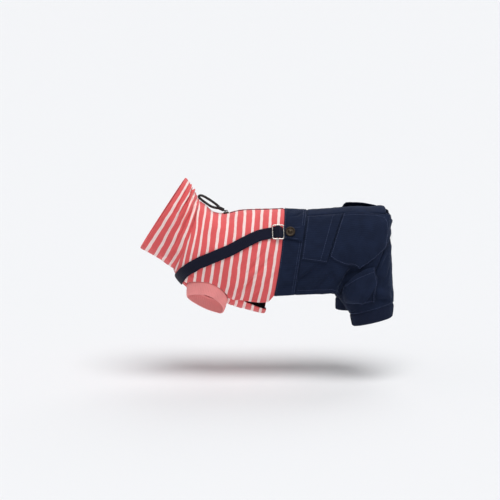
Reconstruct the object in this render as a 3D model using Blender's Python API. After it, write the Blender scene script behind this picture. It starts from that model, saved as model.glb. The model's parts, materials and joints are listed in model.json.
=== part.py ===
"""Dog jumpsuit, worn: a striped jersey top with a turtleneck, joined at the waist to navy trousers
with patch pockets and rib cuffs, and two buttoned shoulder straps. The belly is open behind the chest panel.

Every cloth piece is a wall cut from one of two surfaces, the torso or a trouser half. A surface is a row of
rings, and a point on it is named by `t`, the distance in millimetres from the collar's front edge, and
`around`, the degrees from the spine down the left side (negative on the right side of the torso).

Frame: metres, -X toward the head, -Y the wearer's left, +Z up. The origin is on the middle of the back.
"""

import math
from collections import namedtuple

import bpy
import bmesh
from mathutils import Matrix, Vector

MM = 0.001

# Cloth
SEAM = 0.3  # gap between two pieces that are sewn together, mm
LAID = 0.45  # gap between a panel and what lies on it, mm
JERSEY = 1.4
TWILL = 1.6
RIB = 2.0
WEBBING = 1.6
ELASTIC = 1.2
FULLNESS = 0.035  # how much fuller than an ellipse the rings are, between their axes

# Lengths along the garment, mm from the collar's front edge
NECK_SEAM = 53
WAIST_SEAM = 186
WAISTBAND_END = 220
YOKE_END = 326
LEG_SEAM = 412
BELLY_HEM = 176.5
SLIT_START = 140
ZIP_FRONT = 92

# Sleeve openings in the torso
ARMHOLE_MIDDLE = 89.75
ARMHOLE_HALF = 23.25
ARMHOLE_SPREAD = 21  # degrees, to each side of the side seam
ARMHOLE_SKEW = 0.25  # how far its widest place lies toward the front
SLEEVE_CUFF = 19
CUFF_SIDES = 26
LEG_CUFF = 18

# The right hind leg is drawn forward and up
LEG_SWING = 12  # degrees about the hip
LEG_LIFT = 9
HIP = (147, -61)
SWING_START = 236  # t where the cloth at the belly begins to follow the leg
SWING_END = 392
SWING_TURNS = (110, 180)  # degrees between which the belly's share of the swing takes over

# Straps and their hardware
STRAP_WIDTH = 17
STRAP_LIFT = 0.85  # gap between the webbing and the top, whose folds it bridges
SLIDER_LENGTH = 18.5
SLIDER_HEIGHT = 23.4
SLIDER_WIRE = 2.4
SLIDER_DEPTH = 1.8
SLIDER_PLACE = (177, 53.3)  # t, around
STRAP_RISE = 5.0  # how far the strap climbs over the slider's middle bar
STRAP_RISE_RUN = 7.6
TAB_FRONT = 184
TAB_REAR = 218.4
TAB_MIDDLE = 53.4  # degrees
TAB_HALF_FRONT = 6
TAB_HALF_REAR = 9.3
TAB_WALL = 1.8
BUTTON_PLACE = (197, 52.6)
BUTTON_RADIUS = 7.4
BUTTON_DEPTH = 3.2
BUTTON_SIDES = 16

# Smaller sizes of the cloth pieces
SEAM_TURN = 0.16  # half a seam's gap, in degrees at the torso's radius
COLLAR_WALL = 2.0
BAND_WIDTH = 30
ARMHOLE_ROWS = 8
SLEEVE_NARROWING = 0.08
FORELEG_WAY = (-0.18, 0.05, -0.98)
YOKE_HOLLOW = 3

# Back zip
ZIP_SLOT_TURN = 3.4  # degrees
ZIP_TAPE_TURN = 10
ZIP_TAPE_DEPTH = 2.4  # how far the tape lies below the outside of the top
ZIP_SLIDER_PLACE = (96.9, 0)
PULL_HEIGHT = 2.9  # the hinge's height above the cloth
PULL_LEAN = 24  # degrees that the pull rises toward the neck
PULL_CORD = 3.8

Ring = namedtuple("Ring", "t top_x top_z low_x low_z centre_y half_width bow")

# The torso's rings in mm: where each crosses the spine and the belly's middle, and its half width.
# `bow` sets the sides of a ring back toward the tail.
TORSO = [
    Ring(0, -118.1, 49.4, -187.4, -57.0, 0, 44, 0),
    Ring(13, -111.0, 40.9, -173.3, -64.8, 0, 44, 0),
    Ring(27, -106.8, 32.6, -159.8, -72.7, 0, 45, 1),
    Ring(40, -102.3, 24.2, -148.5, -80.7, 0, 47, 2.5),
    Ring(53, -96.8, 14.4, -138.0, -88.6, 0, 50, 4.3),
    Ring(60, -87.8, 7.6, -130.5, -103.0, 0, 53, 1.5),
    Ring(66.5, -81.8, 1.5, -118.0, -115.9, 0, 55.5, 0),
    Ring(73, -76.5, -2.3, -101.5, -124.2, 0, 58, -1.5),
    Ring(86, -66.8, -4.5, -82.8, -131.8, 0, 61, -2),
    Ring(99, -55.0, -4.2, -69.0, -136.3, 0, 62, -2),
    Ring(112, -42.8, -0.9, -56.3, -140.9, 0, 62, -1),
    Ring(125, -31.0, 1.1, -46.5, -145.4, 0, 61.5, 0),
    Ring(138, -19.0, 1.5, -36.0, -148.4, 0, 61, 3),
    Ring(151, -5.6, 2.0, -23.3, -151.5, 0, 60, 3),
    Ring(164, 8.7, 2.4, -11.3, -155.0, 0, 59, 3),
    Ring(177, 22.5, 2.9, 1.5, -156.8, 0, 58, 3.4),
    Ring(186, 30.8, 3.0, 7.5, -157.5, 0, 57.5, 3.4),
    Ring(220, 65.6, 1.1, 41.3, -157.5, 0, 57.5, -1),
]

# A trouser half: its rings start as the torso's and turn about the groin until they lie round the leg.
TROUSER = [
    Ring(220, 65.6, 1.1, 41.3, -157.5, 0, 57.5, -1),
    Ring(246, 91.5, 2.6, 69.0, -154.5, 0, 58.2, 0),
    Ring(272, 118.5, 4.8, 95.3, -150.0, 0, 59.2, 0),
    Ring(292, 141.0, 6.1, 108.0, -142.0, 0, 60, 0),
    Ring(306, 159.0, 5.0, 109.5, -131.0, -1, 60, 0),
    Ring(320, 178.6, 2.0, 111.5, -130.8, -3.5, 58.5, 0),
    Ring(336, 189.6, -7.5, 114.8, -133.8, -13, 50.5, 0),
    Ring(356, 190.5, -42.0, 118.5, -138.2, -22, 41.5, 0),
    Ring(376, 192.0, -74.8, 122.3, -142.9, -28, 33.5, 0),
    Ring(394, 193.5, -106.2, 126.0, -147.8, -31.5, 28, 0),
    Ring(404, 195.0, -122.6, 128.0, -150.4, -32.6, 25.7, 0),
    Ring(412, 195.0, -136.7, 129.6, -152.9, -33, 24.5, 0),
    Ring(430, 192.9, -156.9, 133.0, -170.7, -33, 22.5, 0),
]

Edge = namedtuple("Edge", "t around")

# The side seam, from the neck to the armhole and on to the slit beside the loose belly hem.
SIDE_SEAM = [Edge(53, 164), Edge(66.5, 147), Edge(89, 145), Edge(113, 143), Edge(140, 139.8), Edge(152, 139)]
# Behind the slit's start the side panel ends at one edge and the chest panel at another.
SIDE_EDGE = [Edge(140, 139.8), Edge(165, 135.5), Edge(176, 133.6), Edge(181, 129), Edge(186, 124)]
CHEST_EDGE = [Edge(140, 139.8), Edge(152, 142), Edge(165, 145), Edge(176.5, 147)]
WAIST_HEM = [Edge(186, 124), Edge(220, 122.5)]
# A trouser half runs from the yoke seam and the tail opening to the belly hem and the inner leg.
BACK_EDGE = [
    Edge(220, 25), Edge(292, 25), Edge(306, 26), Edge(320, 27), Edge(328, 22), Edge(336, 10),
    Edge(356, -8), Edge(376, -27), Edge(390, -58), Edge(402, -89.5), Edge(412, -89.5),
]
BELLY_EDGE = [
    Edge(220, 122.5), Edge(246, 123.5), Edge(272, 126), Edge(284, 131), Edge(292, 139), Edge(306, 160),
    Edge(320, 175), Edge(336, 187), Edge(356, 202), Edge(376, 222), Edge(390, 245), Edge(402, 269.6),
    Edge(412, 269.6),
]

Fold = namedtuple("Fold", "t_from around_from t_to around_to half_width height")

# Soft ridges (height above 0) and troughs (below 0) along a line from one place to another.
TORSO_FOLDS = [
    Fold(16, 8, 25, 100, 4.5, 3.0),
    Fold(24, 4, 36, 120, 4.0, -2.6),
    Fold(31, 6, 45, 118, 4.5, 2.8),
    Fold(40, 20, 47, 150, 4.0, -2.4),
    Fold(57, 35, 60, 96, 4.5, -2.2),
    Fold(118, 140, 150, 95, 7.0, 2.2),
    Fold(128, 142, 168, 118, 6.0, -2.0),
]
TROUSER_FOLDS = [
    Fold(258, 90, 228, 106, 4.5, -2.4),
    Fold(270, 98, 232, 115, 5.0, 2.2),
    Fold(353, 0, 372, 76, 3.5, -2.6),
    Fold(388, 84, 404, 34, 4.5, 2.0),
    Fold(392, 190, 400, 260, 4.0, 1.6),
]

Way = namedtuple("Way", "run along around")

# The middle of the strap, from the slider's far side down to the chest's middle.
STRAP_PATH = [
    Way(0, 181.2, 53.3), Way(1, 170, 53.4), Way(2.4, 148, 58), Way(4.2, 117, 72), Way(6, 88.5, 84.3),
    Way(7.2, 72, 98.5), Way(7.9, 65.5, 114), Way(8.5, 61.8, 131), Way(9.2, 60.6, 152), Way(9.9, 61, 172),
]

Loop = namedtuple("Loop", "run x z")

# The cord loop of the pull as it lies forward over the neck, from the grip and back into it.
PULL_LOOP = [
    Loop(0, -68, 5.7), Loop(2, -75, 11.3), Loop(4, -84, 17.4), Loop(6, -92.5, 22), Loop(7, -97, 22.4),
    Loop(8, -98, 19.8), Loop(9, -94.5, 16.4), Loop(11, -86.5, 10.4), Loop(13, -78.5, 5.4), Loop(15, -69.1, 3.1),
]

Pattern = namedtuple("Pattern", "lines rows columns lift puff sag corner")

# Pockets: evenly spaced lines of (t, around) from the mouth to the bottom, how high they lie and how far
# they puff, in mm. `sag` above 1 brings the puff lower, `corner` lifts the lower rear corner.
FRONT_POCKET = Pattern([[(221.2, 28.5), (273.3, 28.5)], [(221.6, 82), (257.4, 88)]], 6, 6, 0.6, 0.8, 1, 0)
BACK_POCKET = Pattern(
    [
        [(274.5, 29), (300, 29), (326, 31)],
        [
            (260.5, 81), (271, 87), (285, 93), (305, 100), (329, 102.5),
            (338.5, 91), (345.5, 76), (349, 61), (352, 46),
        ],
    ],
    8, 8, 0.9, 1.6, 1, 0,
)
THIGH_POCKET = Pattern(
    [
        [(305, 130), (321, 119), (336, 102), (355, 76)],
        [(326, 142), (352, 126), (369, 100), (376, 74)],
        [(358, 152), (380, 132), (393.5, 109.5), (400, 84)],
    ],
    8, 8, 0.5, 8, 1.3, 4,
)
BACK_POCKET_GAPE = {"left": 1.5, "right": 10.5}
THIGH_POCKET_GAPE = 6


def smooth(rows, t):
    """Every column of a table at t, its first column, read from a smooth curve through its rows."""
    i = 0
    while i < len(rows) - 2 and t > rows[i + 1][0]:
        i += 1
    low, high = rows[i], rows[i + 1]
    before, after = rows[max(i - 1, 0)], rows[min(i + 2, len(rows) - 1)]
    span = high[0] - low[0]
    k = min(max((t - low[0]) / span, 0), 1)
    columns = []
    for a, b, c, d in zip(before, low, high, after):
        leave = (c - a) / (high[0] - before[0]) * span
        arrive = (d - b) / (after[0] - low[0]) * span
        columns.append(
            b * (1 + 2 * k) * (1 - k) ** 2 + leave * k * (1 - k) ** 2
            + c * k * k * (3 - 2 * k) - arrive * k * k * (1 - k)
        )
    return type(low)(*columns)


def straight(edges, t):
    """The angle of an edge at t, on straight lines between its rows."""
    for low, high in zip(edges, edges[1:]):
        if t <= high.t:
            k = max((t - low.t) / (high.t - low.t), 0)
            return low.around + k * (high.around - low.around)
    return edges[-1].around


def ease(k):
    """0 to 1 with a soft start and end."""
    k = min(max(k, 0), 1)
    return k * k * (3 - 2 * k)


def ring_point(ring, around):
    """A point of a ring, in mm."""
    a = math.radians(around)
    top = Vector((ring.top_x, 0, ring.top_z))
    low = Vector((ring.low_x, 0, ring.low_z))
    half = (top - low) / 2
    back = Vector((half.z, 0, -half.x)).normalized()
    full = 1 + FULLNESS * math.sin(2 * a) ** 2
    return (
        (top + low) / 2 + half * (full * math.cos(a)) + back * (ring.bow * math.sin(a) ** 2)
        + Vector((0, ring.centre_y - ring.half_width * full * math.sin(a), 0))
    )


def fold_height(folds, t, around):
    """How far the folds lift the cloth at a place, in mm."""
    height = 0
    for fold in folds:
        # degrees count as millimetres here: a degree is about 1 mm at the torso's radius
        run = Vector((fold.t_to - fold.t_from, fold.around_to - fold.around_from))
        place = Vector((t - fold.t_from, around - fold.around_from))
        along = place.dot(run) / run.length_squared
        across = abs(place.x * run.y - place.y * run.x) / run.length
        if 0 < along < 1 and across < fold.half_width * 2:
            height += (
                fold.height * math.sin(math.pi * along) ** 0.7
                * math.cos(math.pi / 4 * across / fold.half_width) ** 2
            )
    return height


def lifted(base, folds, t, around):
    """A point of a surface with its folds."""
    height = fold_height(folds, t, abs(around))
    return base(t, around) + across_of(base, t, around) * height


def across_of(base, t, around):
    """The way out of a surface at a place."""
    step = 0.4
    along = base(t + step, around) - base(t - step, around)
    over = base(t, around + step) - base(t, around - step)
    return over.cross(along).normalized()


def torso(t, around, out=0):
    """A point of the top, `out` mm outside its cloth's outer face, in mm."""
    def base(s, a):
        return ring_point(smooth(TORSO, s), a)

    def cloth(s, a):
        return lifted(base, TORSO_FOLDS, s, a)
    return cloth(t, around) + across_of(cloth, t, around) * out


def gathers(t, around):
    """The ripples that the elastic draws up beside the tail opening, in mm."""
    near = 1 - (around - straight(BACK_EDGE, t)) / 34
    if near <= 0 or not 326 < t < 372:
        return 0
    return 1.5 * near * math.sin((t - 326) * math.tau / 11.5) * math.sin(math.pi * (t - 326) / 46) ** 0.5


def left_trouser(t, around, out=0):
    def base(s, a):
        return ring_point(smooth(TROUSER, s), a)

    def cloth(s, a):
        return lifted(base, TROUSER_FOLDS, s, a) + across_of(base, s, a) * gathers(s, a)
    return cloth(t, around) + across_of(cloth, t, around) * out


def right_trouser(t, around, out=0):
    """The left half's mirror image, with the leg swung forward about the hip.

    The belly side gives way to the swing over a longer stretch than the side at the tail."""
    rear = ease((t - YOKE_END) / (SWING_END - YOKE_END))
    belly = ease((t - SWING_START) / (SWING_END - SWING_START))
    share = rear + (belly - rear) * ease((around - SWING_TURNS[0]) / (SWING_TURNS[1] - SWING_TURNS[0]))
    hip = Vector((HIP[0], 0, HIP[1]))
    turned = Matrix.Rotation(math.radians(LEG_SWING) * share, 3, "Y") @ (left_trouser(t, around, out) - hip) + hip
    return Vector((turned.x, -turned.y, turned.z + LEG_LIFT * share))


def steps(start, end, most):
    """Evenly spaced values from start to end, no further apart than `most`."""
    count = max(math.ceil(abs(end - start) / most - 1e-6), 1)
    return [start + (end - start) * i / count for i in range(count + 1)]


def wall(name, rows, outside, inside, material, tube=False):
    """A closed solid between an outer and an inner face, both functions of the places in `rows`.

    A tube's last column joins its first."""
    bm = bmesh.new()
    outer, inner = (
        [[bm.verts.new(face(place) * MM) for place in row] for row in rows] for face in (outside, inside)
    )
    height, width = len(rows), len(rows[0])
    columns = [(c, (c + 1) % width) for c in range(width if tube else width - 1)]
    for r in range(height - 1):
        for c, d in columns:
            bm.faces.new((outer[r][c], outer[r][d], outer[r + 1][d], outer[r + 1][c]))
            bm.faces.new((inner[r][c], inner[r + 1][c], inner[r + 1][d], inner[r][d]))
    for r in (0, height - 1):
        for c, d in columns:
            bm.faces.new((outer[r][c], inner[r][c], inner[r][d], outer[r][d]))
    for c in () if tube else (0, width - 1):
        for r in range(height - 1):
            bm.faces.new((outer[r][c], outer[r + 1][c], inner[r + 1][c], inner[r][c]))
    return finish(name, bm, material)


def finish(name, bm, material):
    """Makes the named object from a mesh, smooth but for its edges."""
    bmesh.ops.recalc_face_normals(bm, faces=bm.faces)
    mesh = bpy.data.meshes.new(name)
    bm.to_mesh(mesh)
    bm.free()
    mesh.shade_smooth()
    mesh.set_sharp_from_angle(angle=math.radians(50))
    mesh.materials.append(material)
    obj = bpy.data.objects.new(name, mesh)
    bpy.context.collection.objects.link(obj)
    return obj


def cloth_wall(name, rows, surface, thickness, material, tube=False):
    """A wall of cloth on a surface. A place is (t, around, height of its outer face above the surface)."""
    return wall(
        name, rows,
        lambda place: surface(*place),
        lambda place: surface(place[0], place[1], place[2] - thickness),
        material, tube,
    )


def strip(t_list, start, end, columns, out=0):
    """Rows of places between two edges, each edge an angle as a function of t."""
    rows = []
    for t in t_list:
        low, high = start(t), end(t)
        rows.append([(t, low + (high - low) * c / columns, out) for c in range(columns + 1)])
    return rows


# ---------------------------------------------------------------- materials

def material(name, color, roughness=0.9, metallic=0):
    """A plain material from an sRGB hex colour."""
    linear = [((int(color[i:i + 2], 16) / 255 + 0.055) / 1.055) ** 2.4 for i in (0, 2, 4)]
    made = bpy.data.materials.new(name)
    made.use_nodes = True
    shader = made.node_tree.nodes["Principled BSDF"]
    shader.inputs["Base Color"].default_value = (*linear, 1)
    shader.inputs["Roughness"].default_value = roughness
    shader.inputs["Metallic"].default_value = metallic
    return made


# ---------------------------------------------------------------- striped top

def right_torso(t, around, out=0):
    """The torso named by degrees down the right side."""
    return torso(t, -around, out)


def armhole(f):
    """How far the armhole's edge stands from the side seam at a share f of its way round, and its t."""
    turn = f * math.tau
    t = ARMHOLE_MIDDLE - ARMHOLE_HALF * math.cos(turn)
    spread = ARMHOLE_SPREAD * (math.sin(turn) + ARMHOLE_SKEW * abs(math.sin(turn)) * math.cos(turn))
    return t, spread


def armhole_spread(t):
    """The armhole's half width in degrees at t, none outside it."""
    share = (ARMHOLE_MIDDLE - t) / ARMHOLE_HALF
    if abs(share) >= 1:
        return 0
    return armhole(math.acos(share) / math.tau)[1]


def armhole_rows():
    """Values of t through the armhole, closer toward its ends."""
    return [armhole(i / 2 / ARMHOLE_ROWS)[0] for i in range(ARMHOLE_ROWS + 1)]


def side_edge(t):
    """The lower edge of the back panel."""
    seam = straight(SIDE_SEAM if t <= SLIT_START else SIDE_EDGE, t)
    return seam - armhole_spread(t) - SEAM_TURN


def chest_edge(t):
    """The edge of the chest panel on the left side."""
    seam = straight(SIDE_SEAM if t <= SLIT_START else CHEST_EDGE, t)
    return seam + armhole_spread(t) + SEAM_TURN


def spine_edge(t):
    """The back panel's edge beside the spine: a seam, then the zip's slot."""
    return ZIP_SLOT_TURN if t > ZIP_FRONT else SEAM_TURN


def front_rows(end):
    """Values of t from the neck seam to a piece's rear end."""
    rows = [NECK_SEAM + SEAM / 2, 60] + armhole_rows() + steps(120, SLIT_START, 7)
    return rows + steps(SLIT_START + 7, end, 8)


def collar(fabric):
    rows = [
        [(t, a, 0) for a in steps(-180, 168, 12)] for t in steps(0, NECK_SEAM - SEAM / 2, 5.9)
    ]
    cloth_wall("collar", rows, torso, COLLAR_WALL, fabric, tube=True)


def top_back(side, surface, fabric):
    rows = sorted(front_rows(WAIST_SEAM - SEAM / 2) + [ZIP_FRONT - 0.01, ZIP_FRONT + 0.3])
    cloth_wall(f"top_back_{side}", strip(rows, spine_edge, side_edge, 12), surface, JERSEY, fabric)


def chest_panel(fabric):
    rows = strip(front_rows(BELLY_HEM), chest_edge, lambda t: 360 - chest_edge(t), 12)
    cloth_wall("chest_panel", rows, torso, JERSEY, fabric)


def belly_hem_band(fabric):
    rows = strip(
        steps(BELLY_HEM - BAND_WIDTH, BELLY_HEM - 0.6, 9),
        lambda t: chest_edge(t) + 1, lambda t: 359 - chest_edge(t), 12, -JERSEY - LAID,
    )
    cloth_wall("belly_hem_band", rows, torso, ELASTIC, fabric)


def sleeve_cuff(side, surface, fabric):
    """A tube that hangs from the armhole's edge along the foreleg."""
    edge = []
    for i in range(CUFF_SIDES):
        t, spread = armhole(i / CUFF_SIDES)
        edge.append(surface(t, straight(SIDE_SEAM, t) - spread, 0))
    middle = sum(edge, Vector()) / CUFF_SIDES
    down = Vector(FORELEG_WAY).normalized()
    if side == "right":
        down.y = -down.y

    def at(place, depth):
        i, k = place
        inward = middle - edge[i]
        inward -= down * inward.dot(down)
        drop = SEAM + SLEEVE_CUFF * k
        return edge[i] + down * drop + inward * (SLEEVE_NARROWING * k) + inward.normalized() * depth

    rows = [[(i, k) for i in range(CUFF_SIDES)] for k in (0, 0.5, 1)]
    wall(f"sleeve_cuff_{side}", rows, lambda p: at(p, 0), lambda p: at(p, RIB), fabric, tube=True)


# ---------------------------------------------------------------- navy trousers

def waistband(fabric):
    rows = strip(
        steps(WAIST_SEAM + SEAM / 2, WAISTBAND_END - SEAM / 2, 9),
        lambda t: -straight(WAIST_HEM, t), lambda t: straight(WAIST_HEM, t), 28,
    )
    cloth_wall("waistband", rows, torso, TWILL, fabric)


def yoke_rows():
    """Values of t from the waistband to the yoke's rear end, shared with the trousers."""
    return steps(WAISTBAND_END + SEAM / 2, YOKE_END, 9.7)


def trouser(side, surface, fabric):
    rows = yoke_rows() + steps(YOKE_END + 3.8, 372, 3.8) + steps(379, LEG_SEAM - SEAM / 2, 8.3)
    places = strip(rows, lambda t: straight(BACK_EDGE, t) + SEAM_TURN, lambda t: straight(BELLY_EDGE, t), 17)
    cloth_wall(f"trouser_{side}", places, surface, TWILL, fabric)


def yoke_point(place, depth):
    """A point of the yoke, whose places are (t, share of its half width, negative on the right)."""
    t, share = place
    # the yoke's rear edge curves forward over the tail
    t -= YOKE_HOLLOW * (1 - share * share) * ease((t - YOKE_END + 40) / 40)
    ring = smooth(TROUSER, t)
    spine = math.degrees(math.asin(ring.centre_y / ring.half_width))
    edge = straight(BACK_EDGE, t) - SEAM_TURN
    point = left_trouser(t, spine + (edge - spine) * abs(share), depth)
    return Vector((point.x, point.y if share > 0 else -point.y if share < 0 else 0, point.z))


def back_yoke(fabric):
    rows = [
        [(t, share) for share in (-1, -0.67, -0.33, 0, 0.33, 0.67, 1)]
        for t in yoke_rows()
    ]
    wall("back_yoke", rows, lambda p: yoke_point(p, 0), lambda p: yoke_point(p, -TWILL), fabric)


def leg_cuff(side, surface, fabric):
    rows = [[(t, a, 0) for a in steps(-90, 255, 15)] for t in steps(LEG_SEAM + SEAM / 2, LEG_SEAM + LEG_CUFF, 9)]
    cloth_wall(f"leg_cuff_{side}", rows, surface, RIB, fabric, tube=True)


def on_line(points, k):
    """A place a share k along a line through evenly spaced (t, around) points."""
    i = min(int(k * (len(points) - 1)), len(points) - 2)
    share = k * (len(points) - 1) - i
    return [p + (q - p) * share for p, q in zip(points[i], points[i + 1])]


def pocket(name, pattern, surface, fabric, gape=0):
    """A patch cut to a pattern, puffed in its middle, its mouth standing open by `gape`."""
    rows = []
    for k in steps(0, 1, 1 / pattern.rows):
        row = []
        for m in steps(0, 1, 1 / pattern.columns):
            t, around = on_line([on_line(line, m) for line in pattern.lines], k)
            puff = pattern.puff * (4 * m * (1 - m)) ** 0.7 * math.sin(math.pi * k ** pattern.sag)
            # the mouth stands open widest near its front corner
            rim = min(m / 0.12, 1) ** 0.5 * (1 - m) ** 0.3
            mouth = gape * rim * max(1 - k / 0.5, 0) ** 1.5
            corner = pattern.corner * m ** 6 * k ** 3
            row.append((t, around, pattern.lift + TWILL + puff + mouth + corner))
        rows.append(row)
    cloth_wall(name, rows, surface, TWILL, fabric)


# ---------------------------------------------------------------- straps and hardware

def out_of(surface, t, around):
    """The way out of the cloth at a place, on either side of the garment."""
    return (surface(t, around, 1) - surface(t, around, 0)).normalized()


def beside(surface, t, around, way):
    """The place that lies `way` from a place, a vector in mm in the surface's own plane."""
    step = 0.5
    here = surface(t, around)
    along = (surface(t + step, around) - here) / step
    over = (surface(t, around + step) - here) / step
    aa, bb, ab = along.dot(along), over.dot(over), along.dot(over)
    wa, wb = way.dot(along), way.dot(over)
    scale = aa * bb - ab * ab
    return t + (wa * bb - wb * ab) / scale, around + (wb * aa - wa * ab) / scale


def strap(side, surface, webbing):
    """Webbing from the slider round the chest, rising over the slider's middle bar."""
    rows = []
    for run in steps(0, 1.2, 0.15) + steps(1.5, STRAP_PATH[-1].run, 0.36):
        here, ahead = smooth(STRAP_PATH, run), smooth(STRAP_PATH, run + 0.05)
        behind = smooth(STRAP_PATH, run - 0.05)
        way = surface(ahead.along, ahead.around) - surface(behind.along, behind.around)
        across = out_of(surface, here.along, here.around).cross(way).normalized()
        from_bar = (surface(here.along, here.around) - surface(*SLIDER_PLACE)).length
        rise = STRAP_RISE * ease(1 - from_bar / STRAP_RISE_RUN)
        rows.append([
            (*beside(surface, here.along, here.around, across * (STRAP_WIDTH * share)), STRAP_LIFT + WEBBING + rise)
            for share in (-0.5, 0, 0.5)
        ])
    cloth_wall(f"strap_{side}", rows, surface, WEBBING, webbing)


def seat(surface, t, around, out):
    """A frame on a surface in metres: X toward the tail, Z out of the cloth."""
    z = out_of(surface, t, around)
    x = (surface(t + 1, around) - surface(t - 1, around)).normalized()
    x = (x - z * x.dot(z)).normalized()
    y = z.cross(x)
    frame = Matrix((x, y, z)).transposed().to_4x4()
    frame.translation = surface(t, around, out) * MM
    return frame


def plate(name, x_lines, y_lines, holes, depth, metal, frame):
    """A flat plate on a grid of lines, less the cells listed in `holes`, set on a frame."""
    bm = bmesh.new()
    nodes = {
        (i, j, k): bm.verts.new(Vector((x, y, k * depth)) * MM)
        for i, x in enumerate(x_lines) for j, y in enumerate(y_lines) for k in (0, 1)
    }
    cells = {
        (i, j) for i in range(len(x_lines) - 1) for j in range(len(y_lines) - 1) if (i, j) not in holes
    }
    for i, j in cells:
        ring = [(i, j), (i + 1, j), (i + 1, j + 1), (i, j + 1)]
        bm.faces.new([nodes[(*n, 1)] for n in ring])
        bm.faces.new([nodes[(*n, 0)] for n in reversed(ring)])
        around = [(i, j - 1), (i + 1, j), (i, j + 1), (i - 1, j)]
        for side, other in enumerate(around):
            if other not in cells:
                a, b = ring[side], ring[(side + 1) % 4]
                bm.faces.new((nodes[(*a, 0)], nodes[(*b, 0)], nodes[(*b, 1)], nodes[(*a, 1)]))
    bm.transform(frame)
    return finish(name, bm, metal)


def slider(side, surface, metal):
    """A rectangular slider of wire with a middle bar."""
    long, high, wire = SLIDER_LENGTH / 2, SLIDER_HEIGHT / 2, SLIDER_WIRE
    plate(
        f"slider_{side}",
        (-long, -long + wire, -wire / 3, wire / 3, long - wire, long),
        (-high, -high + wire, high - wire, high),
        {(1, 1), (3, 1)}, SLIDER_DEPTH, metal,
        seat(surface, *SLIDER_PLACE, STRAP_LIFT + WEBBING + LAID),
    )


def tab(side, surface, fabric):
    """A cloth tab on the waistband, its front end under the slider."""
    rows = []
    for k in steps(0, 1, 1 / 5):
        t = TAB_FRONT + (TAB_REAR - TAB_FRONT) * k
        half = TAB_HALF_FRONT + (TAB_HALF_REAR - TAB_HALF_FRONT) * k
        rows.append([(t, TAB_MIDDLE + half * share, LAID + TAB_WALL) for share in (-1, -0.5, 0, 0.5, 1)])
    cloth_wall(f"tab_{side}", rows, surface, TAB_WALL, fabric)


def button(side, surface, metal):
    """A turned button with a raised rim and a low boss."""
    r, d = BUTTON_RADIUS, BUTTON_DEPTH
    profile = [
        (0, 0), (r * 0.85, 0), (r, d * 0.35), (r, d * 0.75), (r * 0.9, d), (r * 0.72, d * 0.95),
        (r * 0.62, d * 0.6), (r * 0.35, d * 0.6), (r * 0.22, d * 0.85), (0, d * 0.85),
    ]
    bm = bmesh.new()
    rings = []
    for radius, z in profile:
        turns = [i * math.tau / BUTTON_SIDES for i in range(1 if radius == 0 else BUTTON_SIDES)]
        rings.append([
            bm.verts.new(Vector((radius * math.cos(turn), radius * math.sin(turn), z)) * MM) for turn in turns
        ])
    for low, high in zip(rings, rings[1:]):
        for i in range(BUTTON_SIDES):
            j = (i + 1) % BUTTON_SIDES
            corners = [low[i % len(low)], low[j % len(low)], high[j % len(high)], high[i % len(high)]]
            bm.faces.new(list(dict.fromkeys(corners)))
    bm.transform(seat(surface, *BUTTON_PLACE, 2 * LAID + TAB_WALL))
    finish(f"button_{side}", bm, metal)


# ---------------------------------------------------------------- zip

def zip_tape(fabric):
    rows = strip(
        steps(ZIP_FRONT - 3, WAIST_SEAM - 1, 14), lambda t: -ZIP_TAPE_TURN, lambda t: ZIP_TAPE_TURN, 4,
        -ZIP_TAPE_DEPTH,
    )
    cloth_wall("zip_tape", rows, torso, 1.0, fabric)


def zip_coil(fabric):
    rows = strip(steps(ZIP_FRONT + 10, WAIST_SEAM - 2, 10), lambda t: -2, lambda t: 2, 2, 0.5)
    cloth_wall("zip_coil", rows, torso, 0.5 + ZIP_TAPE_DEPTH - SEAM, fabric)


def block(name, size, middle, frame, metal, bevel=0.0):
    """A box in a frame, sizes in mm."""
    bm = bmesh.new()
    bmesh.ops.create_cube(bm, size=1)
    bm.transform(Matrix.Translation(Vector(middle)) @ Matrix.Diagonal((*size, 1)))
    if bevel:
        bmesh.ops.bevel(bm, geom=bm.edges[:], offset=bevel, segments=1, affect="EDGES")
    bm.transform(Matrix.Scale(MM, 4))
    bm.transform(frame)
    return finish(name, bm, metal)


def unite(obj, others):
    """Joins closed pieces that overlap into one solid. The others stay as hidden guides."""
    for other in others:
        join = obj.modifiers.new(other.name, "BOOLEAN")
        join.operation = "UNION"
        join.object = other
        other.hide_render = True
        other.display_type = "WIRE"


def zip_slider(metal):
    """A slider in the front of the zip's slot, with a bridge that holds the pull."""
    frame = seat(torso, *ZIP_SLIDER_PLACE, 0)
    body = block("zip_slider", (8.4, 6, 3.2), (0, 0, 0.2), frame, metal, 0.5)
    posts = [
        block(f"bridge_post_{n}", (0.9, 2.1, 2.8), (x, 0, 3.0), frame, metal) for n, x in enumerate((-2.15, 2.15))
    ]
    span = block("bridge_span", (5.4, 2.4, 0.9), (0, 0, 4.35), frame, metal)
    unite(body, posts + [span])


def tube_along(name, points, radius, material_, sides=6):
    """A round tube through points in the plane of the spine, in mm."""
    bm = bmesh.new()
    count = len(points)
    rings = []
    for i, p in enumerate(points):
        way = (points[min(i + 1, count - 1)] - points[max(i - 1, 0)]).normalized()
        side = Vector((0, 1, 0))
        up = way.cross(side)
        rings.append([
            bm.verts.new((p + (side * math.cos(a) + up * math.sin(a)) * radius) * MM)
            for a in (k * math.tau / sides for k in range(sides))
        ])
    for low, high in zip(rings, rings[1:]):
        for k in range(sides):
            m = (k + 1) % sides
            bm.faces.new((low[k], low[m], high[m], high[k]))
    bm.faces.new(rings[0])
    bm.faces.new(list(reversed(rings[-1])))
    return finish(name, bm, material_)


def pull_axis():
    """The middle of the pull's hinge, in mm."""
    return torso(*ZIP_SLIDER_PLACE, PULL_HEIGHT)


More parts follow.
